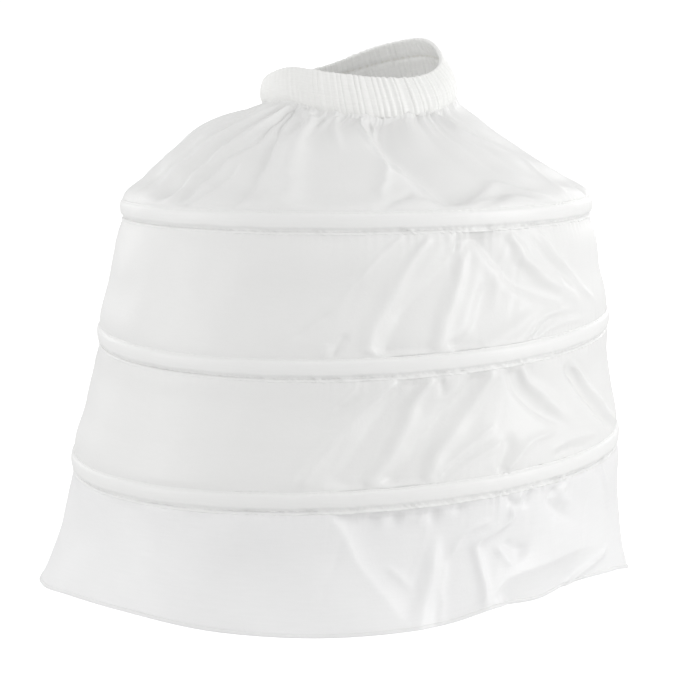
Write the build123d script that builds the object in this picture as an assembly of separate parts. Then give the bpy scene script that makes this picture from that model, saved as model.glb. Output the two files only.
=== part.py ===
"""Three-hoop petticoat (a crinoline underskirt with an elastic waist), as it hangs from the wearer's waist.

Millimetres, +Z up, +X to the wearer's left as seen from the front, front towards -Y.
The origin is the middle of the waist opening, half way up the waistband.

Every cloth, tape and hoop piece follows closed lines round the body. Such a line is a Level: an oval seen
from above, whose height may lean to one side, lean back, or saddle. A piece is the solid between several of
these lines, so one function, solid_round, makes them all.
"""

from build123d import *

import math
import os
from dataclasses import dataclass, replace

# ---------------------------------------------------------------- driving dimensions
CLOTH = 0.8  # modelled thickness of a cloth layer
GAP = 0.2  # clearance between pieces that are sewn or pushed together

BAND_CAVITY = 2.0  # room for the elastic between the waistband's two layers
ELASTIC_THICK = 1.0
ELASTIC_EDGES = (0.08, 0.88)  # the elastic's two edges, as shares of the waistband's height

TAPE_TALL = 16.0  # the hoop tunnel of a casing, between its two rows of stitches
TAPE_BULGE = 5.0  # how far a tunnel stands out from the skirt
LIP_TALL = 4.0  # the flat edge of tape below the tunnel
TAPE_STEPS = 8  # facets of a tunnel's rounded face

HOOP_TALL = 8.0
HOOP_THICK = 1.2
HOOP_END_GAP = 1.0  # the space between a hoop's two ends, inside its joiner
JOINER_LONG = 30.0
JOINER_WALL = 0.5

LINE_POINTS = 24  # points on half a line round the body
FRONT = (180.0, 360.0)  # the half of a line in front of the side seams, in degrees
BACK = (0.0, 180.0)
BACK_MIDDLE = 90.0


@dataclass(frozen=True)
class Level:
    """A closed line round the body.

    middle: X of its middle. height: mean Z. wide, deep: half width along X and half depth along Y.
    right_up, back_up: rise at the +X side and at the back, from leaning. saddle: rise of two opposite corners.
    """

    middle: float
    height: float
    wide: float
    deep: float
    right_up: float = 0.0
    back_up: float = 0.0
    saddle: float = 0.0

    def point(self, degrees: float) -> tuple[float, float, float]:
        """The line's point at an angle from +X, anticlockwise seen from above."""
        turn = math.radians(degrees)
        rise = self.right_up * math.cos(turn) + self.back_up * math.sin(turn)
        return (
            self.middle + self.wide * math.cos(turn),
            self.deep * math.sin(turn),
            self.height + rise + self.saddle * math.sin(2 * turn),
        )

    def moved(self, out: float = 0.0, up: float = 0.0) -> "Level":
        """The same line, larger all round by out and raised by up."""
        return replace(self, height=self.height + up, wide=self.wide + out, deep=self.deep + out)

    def towards(self, other: "Level", share: float) -> "Level":
        """The line that lies that share of the way to another one."""
        mine, its = vars(self), vars(other)
        return Level(**{name: mine[name] + share * (its[name] - mine[name]) for name in mine})


# The waistband's two edges. Its outer face leans in towards the top.
BAND_TOP = Level(0.0, 18.0, 80.0, 58.0, right_up=11.0, back_up=9.0, saddle=13.5)
BAND_FOOT = Level(0.0, -18.0, 96.5, 72.0, right_up=5.0, back_up=9.0, saddle=7.0)

# The yoke swells out like a shoulder between the waistband and the top hoop.
YOKE_SHOULDER = Level(-16.0, -40.0, 139.0, 127.0, right_up=2.0, back_up=5.0, saddle=3.0)
YOKE_SLOPE = Level(-13.0, -72.0, 184.0, 180.0, right_up=1.0)

# The cloth's outer face behind the middle of each hoop tunnel.
HOOPS = {
    "top": Level(-3.0, -116.5, 231.5, 231.5, right_up=1.7, back_up=-5.5),
    "middle": Level(-6.0, -232.5, 253.5, 253.5, right_up=8.5, back_up=5.9),
    "bottom": Level(-14.0, -355.5, 274.0, 274.0, right_up=13.8, back_up=-2.6),
}
TIER_SWELL = 3.0  # how far the cloth between two hoops stands outside a straight cone

# The flounce hangs almost straight and then flares.
FLOUNCE_KNEE = Level(-17.0, -413.0, 279.5, 279.5, right_up=12.0)
HEM = Level(-22.5, -470.0, 301.0, 301.0, right_up=8.0)


# ---------------------------------------------------------------- making a solid from lines round the body
def line_round(level: Level, start: float, end: float) -> Edge:
    """The smooth edge along a level from one angle to another."""
    whole = end - start >= 360.0
    steps = max(2, round(LINE_POINTS * (end - start) / 180.0))
    turns = [start + (end - start) * i / steps for i in range(steps if whole else steps + 1)]
    return Edge.make_spline([Vector(*level.point(turn)) for turn in turns], periodic=whole)


def solid_round(corners: list[Level], start: float = 0.0, end: float = 360.0) -> Solid:
    """The solid whose section has these corners, in order, carried round the body between two angles."""
    pairs = list(zip(corners, corners[1:] + corners[:1]))
    faces = [
        Face.make_surface_from_curves(line_round(a, start, end), line_round(b, start, end)) for a, b in pairs
    ]
    if end - start < 360.0:
        for angle in (start, end):
            ends = [Vector(*corner.point(angle)) for corner in corners]
            faces.append(Face(Wire.make_polygon(ends, close=True)))
    made = Solid(Shell(faces))
    return made if made.volume > 0 else Solid(-made)


def cloth(levels: list[Level], half: tuple[float, float], drop: float = 0.0) -> Solid:
    """A cloth panel, outer face on these levels from top to bottom, over the front or back half.

    drop lowers the inner face above the panel's foot, which keeps a flat-lying panel as thick as an upright one.
    """
    inner = [level.moved(out=-CLOTH, up=-drop) for level in levels[:-1]]
    inner.append(levels[-1].moved(out=-CLOTH))
    return solid_round(levels + inner[::-1], *half)


# ---------------------------------------------------------------- waistband
def waistband() -> Solid:
    """The folded waistband: two layers joined by a fold at the top, open at the foot."""
    fold = BAND_TOP.moved(up=-CLOTH)
    back = -(CLOTH + BAND_CAVITY)
    return solid_round(
        [
            BAND_FOOT,
            BAND_TOP,
            BAND_TOP.moved(out=back - CLOTH),
            BAND_FOOT.moved(out=back - CLOTH),
            BAND_FOOT.moved(out=back),
            fold.moved(out=back),
            fold.moved(out=-CLOTH),
            BAND_FOOT.moved(out=-CLOTH),
        ]
    )


def waist_elastic() -> Solid:
    """The flat elastic that lies in the waistband's fold."""
    face = -(CLOTH + (BAND_CAVITY - ELASTIC_THICK) / 2)
    low, high = (BAND_FOOT.towards(BAND_TOP, share) for share in ELASTIC_EDGES)
    return solid_round(
        [
            low.moved(out=face),
            high.moved(out=face),
            high.moved(out=face - ELASTIC_THICK),
            low.moved(out=face - ELASTIC_THICK),
        ]
    )


# ---------------------------------------------------------------- cloth tiers
def behind(hoop: Level) -> tuple[Level, Level, Level]:
    """The cloth behind a casing: level with its top edge, with the hoop, and with its lower edge."""
    return hoop.moved(up=TAPE_TALL / 2 + 1), hoop, hoop.moved(up=-(TAPE_TALL / 2 + LIP_TALL + 1))


def yoke(half: tuple[float, float]) -> Solid:
    """The gathered top tier, from the waistband's foot to the top hoop."""
    over, at, _ = behind(HOOPS["top"])
    return cloth([BAND_FOOT.moved(up=-GAP), YOKE_SHOULDER, YOKE_SLOPE, over, at], half, drop=CLOTH)


def tier(upper: Level, lower: Level, half: tuple[float, float]) -> Solid:
    """The tier between two hoops, swelling a little half way down."""
    _, start, below = behind(upper)
    over, end, _ = behind(lower)
    swell = below.towards(over, 0.5).moved(out=TIER_SWELL)
    return cloth([start, below, swell, over, end], half)


def flounce(half: tuple[float, float]) -> Solid:
    """The loose frill below the bottom hoop."""
    _, start, below = behind(HOOPS["bottom"])
    return cloth([start, below, FLOUNCE_KNEE, HEM], half)


# ---------------------------------------------------------------- hoops and their casings
def tunnel(out: float) -> list[tuple[float, float]]:
    """A tunnel's rounded face as (out, up) points: half a cosine wave standing out by that much."""
    ups = [TAPE_TALL * (0.5 - i / TAPE_STEPS) for i in range(TAPE_STEPS + 1)]
    return [(out * math.cos(math.pi * up / TAPE_TALL) ** 0.6, up) for up in ups[1:-1]]


def casing(hoop: Level) -> Solid:
    """The tape sewn outside the skirt over a hoop: a flat top edge, the tunnel, and a flat lip below."""
    half, face = TAPE_TALL / 2, GAP + CLOTH
    outer = [(face, half + 1), (face, half)]
    outer += [(GAP + out, up) for out, up in tunnel(TAPE_BULGE)]
    outer += [(face, -half), (face, -half - LIP_TALL)]
    inner = [(GAP, -half - LIP_TALL), (GAP, -half + CLOTH)]
    inner += [(GAP + out, up) for out, up in reversed(tunnel(TAPE_BULGE - CLOTH))]
    inner += [(GAP, half - CLOTH), (GAP, half + 1)]
    return solid_round([hoop.moved(out=out, up=up) for out, up in outer + inner])


def strip(hoop: Level, grow: float, start: float, end: float) -> Solid:
    """A flat strip lying in a casing, the hoop's own section grown all round by that much."""
    near = CLOTH + GAP + JOINER_WALL - grow
    far, half = near + HOOP_THICK + 2 * grow, HOOP_TALL / 2 + grow
    section = [(far, half), (far, -half), (near, -half), (near, half)]
    return solid_round([hoop.moved(out=out, up=up) for out, up in section], start, end)


def arc(hoop: Level, length: float) -> float:
    """The angle in degrees that a length takes on a hoop."""
    return math.degrees(length / hoop.wide)


def hoop_wire(hoop: Level) -> Solid:
    """The springy hoop itself, with its two ends a small gap apart at the back."""
    gap = arc(hoop, HOOP_END_GAP)
    return strip(hoop, 0.0, BACK_MIDDLE + gap / 2, BACK_MIDDLE + 360.0 - gap / 2)


def joiner(hoop: Level) -> Solid:
    """The sleeve pushed over both ends of a hoop."""
    turn = arc(hoop, JOINER_LONG) / 2
    sleeve = strip(hoop, JOINER_WALL, BACK_MIDDLE - turn, BACK_MIDDLE + turn)
    hole = strip(hoop, GAP / 4, BACK_MIDDLE - 2 * turn, BACK_MIDDLE + 2 * turn)
    return (sleeve - hole).solid()


# ---------------------------------------------------------------- the whole petticoat
def pieces() -> dict[str, Solid]:
    """Every piece by its name."""
    made = {"waistband": waistband(), "waist_elastic": waist_elastic()}
    for side, half in (("front", FRONT), ("back", BACK)):
        made[f"yoke_{side}"] = yoke(half)
        made[f"upper_tier_{side}"] = tier(HOOPS["top"], HOOPS["middle"], half)
        made[f"lower_tier_{side}"] = tier(HOOPS["middle"], HOOPS["bottom"], half)
        made[f"flounce_{side}"] = flounce(half)
    for name, hoop in HOOPS.items():
        made[f"casing_{name}"] = casing(hoop)
        made[f"hoop_{name}"] = hoop_wire(hoop)
        made[f"joiner_{name}"] = joiner(hoop)
    return made


os.makedirs("parts", exist_ok=True)
for node, solid in pieces().items():
    export_step(solid, f"parts/{node}.step")
    print(f"{node}: {solid.volume:.0f} mm3, valid {solid.is_valid}")
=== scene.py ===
"""Looks of a child's white hoop petticoat, held at the waist as it is worn.

Lengths are metres in the part's own frame: +Z up, -Y the wearer's front, the origin in the middle of the
waist opening. A turn is an angle round the body in degrees from the front middle, growing towards +X, so the
side seams are at 90 and -90 and the back middle is at 180. A share is how far down a cloth tier a point
lies, from 0 where the tier comes out from under the seam above it to 1 where it goes in under the seam below
it.
"""

import logging
import math
from collections.abc import Callable
from dataclasses import dataclass, replace
from enum import Enum

import bpy
import numpy as np
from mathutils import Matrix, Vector


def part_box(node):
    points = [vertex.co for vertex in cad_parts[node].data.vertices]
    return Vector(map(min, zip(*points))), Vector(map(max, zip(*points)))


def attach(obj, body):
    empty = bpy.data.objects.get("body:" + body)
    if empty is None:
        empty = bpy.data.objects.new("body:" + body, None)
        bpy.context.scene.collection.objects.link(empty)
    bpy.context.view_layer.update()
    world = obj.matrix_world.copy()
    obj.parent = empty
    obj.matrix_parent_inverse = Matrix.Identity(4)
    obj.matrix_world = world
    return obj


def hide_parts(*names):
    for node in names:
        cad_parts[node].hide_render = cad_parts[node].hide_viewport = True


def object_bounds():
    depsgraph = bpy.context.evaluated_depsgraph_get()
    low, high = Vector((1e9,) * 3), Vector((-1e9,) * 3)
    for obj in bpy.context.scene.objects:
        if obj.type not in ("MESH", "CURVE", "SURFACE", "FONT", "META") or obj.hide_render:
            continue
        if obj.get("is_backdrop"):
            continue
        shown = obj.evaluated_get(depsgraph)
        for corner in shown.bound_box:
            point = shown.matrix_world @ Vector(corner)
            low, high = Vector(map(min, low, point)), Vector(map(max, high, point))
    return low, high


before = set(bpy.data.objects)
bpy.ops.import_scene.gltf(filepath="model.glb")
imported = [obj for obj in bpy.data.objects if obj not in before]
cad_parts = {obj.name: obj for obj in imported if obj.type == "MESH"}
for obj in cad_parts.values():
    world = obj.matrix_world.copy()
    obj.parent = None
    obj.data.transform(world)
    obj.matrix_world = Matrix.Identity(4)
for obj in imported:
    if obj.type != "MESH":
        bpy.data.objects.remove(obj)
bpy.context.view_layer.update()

BODY = "root"
MM = 0.001
SIDE_SEAM = 90.0
FULL_TURN = 360.0

log = logging.getLogger("petticoat")


# -------------------------------------------------------------------------------- small mathematics
def ease(share: np.ndarray) -> np.ndarray:
    """The smooth step 3t^2 - 2t^3 of a share held between 0 and 1.

    Args:
        share: any array.

    Returns:
        An array of the same shape, from 0 to 1.
    """
    held = np.clip(share, 0.0, 1.0)
    return held * held * (3.0 - 2.0 * held)


def glide(knots: np.ndarray, values: np.ndarray, at: np.ndarray, period: float = 0.0) -> np.ndarray:
    """Carries values smoothly from knot to knot.

    Between two knots the value is the cubic that has, at each of them, the slope of the chord between its two
    neighbours.

    Args:
        knots: growing numbers, one for each value.
        values: one number or row of numbers for each knot.
        at: where to read, as a flat array.
        period: the length after which the knots repeat, or 0 where they don't.

    Returns:
        The values at each place, as many rows as at has numbers.
    """
    knots = np.asarray(knots, float)
    values = np.asarray(values, float)
    if period:
        knots = np.concatenate([knots[-2:] - period, knots, knots[:2] + period])
        values = np.concatenate([values[-2:], values, values[:2]])
        at = knots[1] + np.mod(at - knots[1], period)
    slopes = np.gradient(values, knots, axis=0)
    left = np.clip(np.searchsorted(knots, at, side="right") - 1, 0, len(knots) - 2)
    gap = knots[left + 1] - knots[left]
    t = (at - knots[left]) / gap
    if values.ndim > 1:
        gap, t = gap[:, None], t[:, None]
    return (
        (2 * t**3 - 3 * t**2 + 1) * values[left]
        + (t**3 - 2 * t**2 + t) * gap * slopes[left]
        + (3 * t**2 - 2 * t**3) * values[left + 1]
        + (t**3 - t**2) * gap * slopes[left + 1]
    )


class Ripple:
    """Seeded, smooth unevenness along a line or over a surface: a sum of randomly placed sines."""

    def __init__(self, seed: int, longest: float, shortest: float, waves: int = 9) -> None:
        """Draws the sines.

        Args:
            seed: the number that fixes the draw.
            longest: longest wavelength.
            shortest: shortest wavelength.
            waves: how many sines are added up.
        """
        rng = np.random.default_rng(seed)
        lengths = np.exp(rng.uniform(math.log(shortest), math.log(longest), waves))
        headings = rng.uniform(0.0, math.pi, waves)
        self.across = 2 * math.pi * np.cos(headings) / lengths
        self.down = 2 * math.pi * np.sin(headings) / lengths
        self.along = 2 * math.pi / lengths
        self.phase = rng.uniform(0.0, 2 * math.pi, waves)

    def line(self, at: np.ndarray) -> np.ndarray:
        """The unevenness along a line, about -1 to 1, with the shape of at."""
        return np.sin(at[..., None] * self.along + self.phase).sum(-1) / math.sqrt(len(self.phase))

    def sheet(self, across: np.ndarray, down: np.ndarray) -> np.ndarray:
        """The unevenness over a surface, about -1 to 1, with the shape of across and down."""
        angle = across[..., None] * self.across + down[..., None] * self.down + self.phase
        return np.sin(angle).sum(-1) / math.sqrt(len(self.phase))


@dataclass(frozen=True)
class Wave:
    """A number that changes round the body, through its values at a few chosen turns."""

    knots: tuple[tuple[float, float], ...]

    @classmethod
    def lengths(cls, *knots: tuple[float, float]) -> "Wave":
        """A wave of lengths, from pairs of a turn and a length in millimetres."""
        return cls(tuple((turn, length * MM) for turn, length in knots))

    def at(self, turn: np.ndarray) -> np.ndarray:
        """The number at each turn: a smooth closed curve through the chosen ones."""
        turns, values = zip(*self.knots)
        flat = glide(np.array(turns), np.array(values), np.ravel(turn), period=FULL_TURN)
        return flat.reshape(np.shape(turn))


# -------------------------------------------------------------------------------- lines
@dataclass(frozen=True)
class Round:
    """A closed line round the body: an oval from above, whose height leans sideways and back, and saddles."""

    middle: float
    height: float
    wide: float
    deep: float
    right_up: float = 0.0
    back_up: float = 0.0
    saddle: float = 0.0

    @classmethod
    def along(cls, node: str) -> "Round":
        """The line that a hoop's CAD node follows.

        Its box gives the circle, and the plane of least squares through its points gives height and lean.

        Args:
            node: the hoop's name.

        Returns:
            The hoop's middle line.
        """
        low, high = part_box(node)
        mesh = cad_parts[node].data
        points = np.empty(len(mesh.vertices) * 3)
        mesh.vertices.foreach_get("co", points)
        points = points.reshape(-1, 3)
        middle, wide, deep = (low.x + high.x) / 2, (high.x - low.x) / 2, (high.y - low.y) / 2
        terms = np.stack([np.ones(len(points)), (points[:, 0] - middle) / wide, points[:, 1] / deep], axis=1)
        height, right_up, back_up = np.linalg.lstsq(terms, points[:, 2], rcond=None)[0]
        return cls(middle, float(height), wide, deep, float(right_up), float(back_up))

    def moved(self, out: float = 0.0, up: float = 0.0) -> "Round":
        """The same line, larger all round by out and raised by up."""
        return replace(self, height=self.height + up, wide=self.wide + out, deep=self.deep + out)

    def towards(self, other: "Round", share: float) -> "Round":
        """The line that lies that share of the way to another one."""
        mine, its = vars(self), vars(other)
        return Round(**{name: mine[name] + share * (its[name] - mine[name]) for name in mine})

    def at(self, turn: np.ndarray) -> np.ndarray:
        """Points of the line at the given turns, by the formula of oval."""
        return oval(np.array([*vars(self).values()]), np.radians(turn))


def oval(terms: np.ndarray, angle: np.ndarray) -> np.ndarray:
    """Points of ovals round the body.

    x = middle + wide sin t, y = -deep cos t, z = height + right_up sin t - back_up cos t - saddle sin 2t.

    Args:
        terms: a Round's seven numbers along the last axis.
        angle: angles in radians from the front middle, which broadcast against the other axes of terms.

    Returns:
        Points, with x, y, z along a new last axis.
    """
    middle, height, wide, deep, right_up, back_up, saddle = np.moveaxis(terms, -1, 0)
    sine, cosine = np.sin(angle), np.cos(angle)
    z = height + right_up * sine - back_up * cosine - saddle * np.sin(2 * angle)
    return np.stack(np.broadcast_arrays(middle + wide * sine, -deep * cosine, z), axis=-1)


# -------------------------------------------------------------------------------- meshes
def outward(points: np.ndarray) -> np.ndarray:
    """Unit normals of a grid of points: the cross product of its two directions, turned away from the body.

    Args:
        points: rows, columns, xyz.

    Returns:
        Normals of the same shape.
    """
    down, across = np.gradient(points, axis=0), np.gradient(points, axis=1)
    normal = np.cross(down, across)
    normal /= np.linalg.norm(normal, axis=-1, keepdims=True)
    radial = points * (1.0, 1.0, 0.0)
    sign = np.sign((normal * radial).sum(-1).mean())
    return normal * sign


def grid_faces(rows: int, columns: int, ring: bool, tube: bool = False) -> np.ndarray:
    """Corner numbers of the quads of a grid.

    Args:
        rows: points down the grid.
        columns: points across it.
        ring: whether the last column joins the first.
        tube: whether the last row joins the first.

    Returns:
        One row of four point numbers for each quad.
    """
    row = np.arange(rows if tube else rows - 1)[:, None]
    column = np.arange(columns if ring else columns - 1)[None, :]
    below, beside = (row + 1) % rows, (column + 1) % columns
    here, under = row * columns, below * columns
    corners = [here + column, here + beside, under + beside, under + column]
    return np.stack(np.broadcast_arrays(*corners), axis=-1).reshape(-1, 4)


def build(
    name: str, points: np.ndarray, faces: np.ndarray, flat: np.ndarray | None = None
) -> bpy.types.Object:
    """Makes a smooth-shaded mesh object at the origin.

    Args:
        name: the object's name.
        points: point places, any shape that ends in xyz.
        faces: four point numbers for each face.
        flat: the cloth's flat coordinates in metres, one pair for each point, for its UV map.

    Returns:
        The new object.
    """
    points = points.reshape(-1, 3)
    mesh = bpy.data.meshes.new(name)
    mesh.vertices.add(len(points))
    mesh.vertices.foreach_set("co", points.astype(np.float32).ravel())
    mesh.loops.add(faces.size)
    mesh.loops.foreach_set("vertex_index", faces.astype(np.int32).ravel())
    mesh.polygons.add(len(faces))
    mesh.polygons.foreach_set("loop_start", np.arange(0, faces.size, 4, dtype=np.int32))
    mesh.polygons.foreach_set("use_smooth", np.ones(len(faces), dtype=bool))
    mesh.update(calc_edges=True)
    if flat is not None:
        layer = mesh.uv_layers.new(name="cloth")
        layer.data.foreach_set("uv", flat.reshape(-1, 2)[faces.ravel()].astype(np.float32).ravel())
    piece = bpy.data.objects.new(name, mesh)
    bpy.context.scene.collection.objects.link(piece)
    return piece


def flat_grid(across: np.ndarray, down: np.ndarray) -> np.ndarray:
    """Flat coordinates of a grid of cloth, by row and column, from those of its columns and of its rows."""
    return np.stack(np.broadcast_arrays(across[None, :], down[:, None]), axis=-1)


def outside_out(faces: np.ndarray, points: np.ndarray, normals: np.ndarray) -> np.ndarray:
    """Faces turned so that the first of them looks along its own normal.

    Args:
        faces: quads that all turn the same way.
        points: the places of their points.
        normals: the way that each point should look.

    Returns:
        The same quads, reversed if they looked inwards.
    """
    a, b, c = points.reshape(-1, 3)[faces[:, :3]].transpose(1, 0, 2)
    looks = np.cross(b - a, c - b)
    wanted = normals.reshape(-1, 3)[faces[:, 0]]
    return faces if (looks * wanted).sum() > 0 else faces[:, ::-1]


def thicken(piece: bpy.types.Object, thickness: float) -> None:
    """Gives a cloth surface its thickness inwards, with a closed rim, as part of its mesh."""
    modifier = piece.modifiers.new("thickness", "SOLIDIFY")
    modifier.thickness = thickness
    modifier.offset = -1.0
    modifier.use_even_offset = False
    modifier.use_rim = True


# -------------------------------------------------------------------------------- folds in cloth
class Crest(Enum):
    """How a fold looks across its line."""

    SOFT = "soft"
    SHARP = "sharp"
    STEP = "step"
    BEND = "bend"


@dataclass(frozen=True)
class Fold:
    """A fold along a line on a tier.

    path: points of the line as (turn, share). rise: how far it stands out, or in where negative, in
    millimetres. spread: the distance in which it dies away, in millimetres. fade: the shares of its length
    over which its two ends come and go. tips: the shares of its spread that it has at its two ends. A step
    and a bend have two unlike sides, as seen going along the line: see profile.
    """

    path: tuple[tuple[float, float], ...]
    rise: float
    spread: float
    crest: Crest = Crest.SOFT
    fade: tuple[float, float] = (0.12, 0.25)
    tips: tuple[float, float] = (0.6, 1.0)

    STEPS = 16  # straight pieces that the path is cut into
    STEEP_SIDE = 0.25
    CREST_RADIUS = 0.4
    FLANK_WIDTH = 2.3
    FLANK_DEPTH = 0.3
    REACH = 3.6  # spreads after which nothing is left of a fold
    BEND_REACH = 8.0  # the same for a bend, which dies away more slowly
    WANDER = 0.9 * MM  # how far a fold strays from its path
    WANDER_LENGTHS = (70 * MM, 22 * MM)

    def relief(self, tier: "Tier", across: np.ndarray, down: np.ndarray) -> np.ndarray:
        """How far the fold lifts each point.

        Args:
            tier: the tier whose turns and shares the path uses.
            across: flat coordinates round the tier.
            down: flat coordinates down the tier.

        Returns:
            Lengths along the normal, with the shape of across.
        """
        ends = np.array([tier.flat(*point) for point in self.path])
        line = glide(np.linspace(0, 1, len(ends)), ends, np.linspace(0, 1, self.STEPS + 1))
        spread = self.spread * MM
        border = spread * (self.BEND_REACH if self.crest is Crest.BEND else self.REACH)
        low, high = line.min(0) - border, line.max(0) + border
        near = (across > low[0]) & (across < high[0]) & (down > low[1]) & (down < high[1])
        lift = np.zeros_like(across)
        if not near.any():
            return lift
        wander = self.WANDER * Ripple(round(1e4 * abs(line[0].sum())), *self.WANDER_LENGTHS).line(down[near])
        spot = np.stack([across[near] + wander, down[near]], axis=-1)
        step = np.diff(line, axis=0)
        gap = spot[:, None, :] - line[None, :-1, :]
        along = np.clip((gap * step).sum(-1) / (step**2).sum(-1), 0.0, 1.0)
        off = gap - along[..., None] * step
        reach = np.hypot(off[..., 0], off[..., 1])
        best = reach.argmin(1)
        pick = np.arange(len(best))
        side = np.sign(step[best, 0] * gap[pick, best, 1] - step[best, 1] * gap[pick, best, 0])
        run = (best + along[pick, best]) / self.STEPS
        first, last = self.tips
        width = spread * (1 - (1 - first) * (1 - ease(2 * run)) - (1 - last) * ease(2 * run - 1))
        lift[near] = self.rise * MM * self.profile(reach[pick, best] / width, side) * self.strength(run)
        return lift

    def profile(self, share: np.ndarray, side: np.ndarray) -> np.ndarray:
        """The fold's height across its line, for distances d in units of its spread.

        A soft fold is exp(-d^2) and a sharp one exp(r - sqrt(d^2 + r^2)) with a small crest radius r; from
        both a wide, low exp(-(d/2.3)^2) is taken, so that a ridge stands between slight hollows. A step
        falls away as exp(-(d/0.25)^2) on the right and as exp(-d^1.5) on the left. A bend is level on the
        right, and on the left it is d exp(1 - d), which leaves the line at an angle and comes back slowly.

        Args:
            share: distances from the line, in spreads.
            side: 1 for points on the right of the line as it goes, -1 for points on its left.

        Returns:
            Heights as shares of the fold's rise.
        """
        if self.crest is Crest.STEP:
            return np.where(side > 0, np.exp(-((share / self.STEEP_SIDE) ** 2)), np.exp(-(share**1.5)))
        if self.crest is Crest.BEND:
            return np.where(side < 0, share * np.exp(1 - share), 0.0)
        radius = self.CREST_RADIUS
        sharp = np.exp(radius - np.sqrt(share**2 + radius**2))
        crest = np.exp(-(share**2)) if self.crest is Crest.SOFT else sharp
        flank = self.FLANK_DEPTH * np.exp(-((share / self.FLANK_WIDTH) ** 2))
        return (crest - flank) / (1 - self.FLANK_DEPTH)

    def strength(self, run: np.ndarray) -> np.ndarray:
        """How much of the fold there is along its line: a smooth step in at the start and out at the end."""
        start, end = self.fade
        rise = ease(run / start) if start else 1.0
        return rise * (ease((1.0 - run) / end) if end else 1.0)


@dataclass(frozen=True)
class Swell:
    """A broad bulge or hollow: rise exp(-(x/width)^2 - (y/height)^2) about a place, in millimetres."""

    turn: float
    share: float
    rise: float
    width: float
    height: float

    def relief(self, tier: "Tier", across: np.ndarray, down: np.ndarray) -> np.ndarray:
        """How far the swell lifts each point, by the formula above."""
        middle = tier.flat(self.turn, self.share)
        x, y = (across - middle[0]) / (self.width * MM), (down - middle[1]) / (self.height * MM)
        return self.rise * MM * np.exp(-(x**2) - y**2)


def scattered(
    seed: int, turns: tuple[float, float], count: int, slant: float, rise: float, spread: float
) -> list[Fold]:
    """Folds of the kind that a tier gets where its two hoops have turned a little against each other.

    Args:
        seed: the number that fixes the draw.
        turns: the first and last turn they lie between.
        count: how many there are.
        slant: how many degrees their tops lie further round than their feet.
        rise: their greatest height in millimetres.
        spread: their mean spread in millimetres.

    Returns:
        The folds, every other one a hollow.
    """
    rng = np.random.default_rng(seed)
    folds = []
    for number in range(count):
        foot = turns[0] + (turns[1] - turns[0]) * (number + rng.uniform(0.1, 0.9)) / count
        lean = slant * rng.uniform(0.6, 1.3)
        top, bottom = rng.uniform(-0.05, 0.25), rng.uniform(0.7, 1.05)
        bend = rng.uniform(-0.15, 0.15) * lean
        path = (
            (foot + lean * (1 - top), top),
            (foot + lean * (1 - (top + bottom) / 2) + bend, (top + bottom) / 2),
            (foot + lean * (1 - bottom), bottom),
        )
        height = rise * rng.uniform(0.45, 1.0) * (1 if number % 2 else -0.8)
        crest = Crest.SHARP if rng.uniform() < 0.5 else Crest.SOFT
        folds.append(Fold(path, height, spread * rng.uniform(0.7, 1.4), crest, (0.25, 0.35)))
    return folds


# -------------------------------------------------------------------------------- finishes
def linear(code: str) -> tuple[float, float, float, float]:
    """An sRGB hex colour such as #f2f2f0 as linear red, green, blue and full alpha."""
    parts = [int(code[i : i + 2], 16) / 255 for i in (1, 3, 5)]
    return (*[part / 12.92 if part <= 0.04045 else ((part + 0.055) / 1.055) ** 2.4 for part in parts], 1.0)


def add(tree: bpy.types.NodeTree, kind: str, inputs: dict | None = None, **settings) -> bpy.types.Node:
    """Adds a node with its settings and links.

    Args:
        tree: the material's node tree.
        kind: the node's type name without its ShaderNode start.
        inputs: a value or an output socket for each input, by the input's name or number.
        settings: the node's own properties.

    Returns:
        The new node.
    """
    node = tree.nodes.new("ShaderNode" + kind)
    for key, value in settings.items():
        setattr(node, key, value)
    for key, value in (inputs or {}).items():
        if isinstance(value, bpy.types.NodeSocket):
            tree.links.new(value, node.inputs[key])
        else:
            node.inputs[key].default_value = value
    return node


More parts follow.
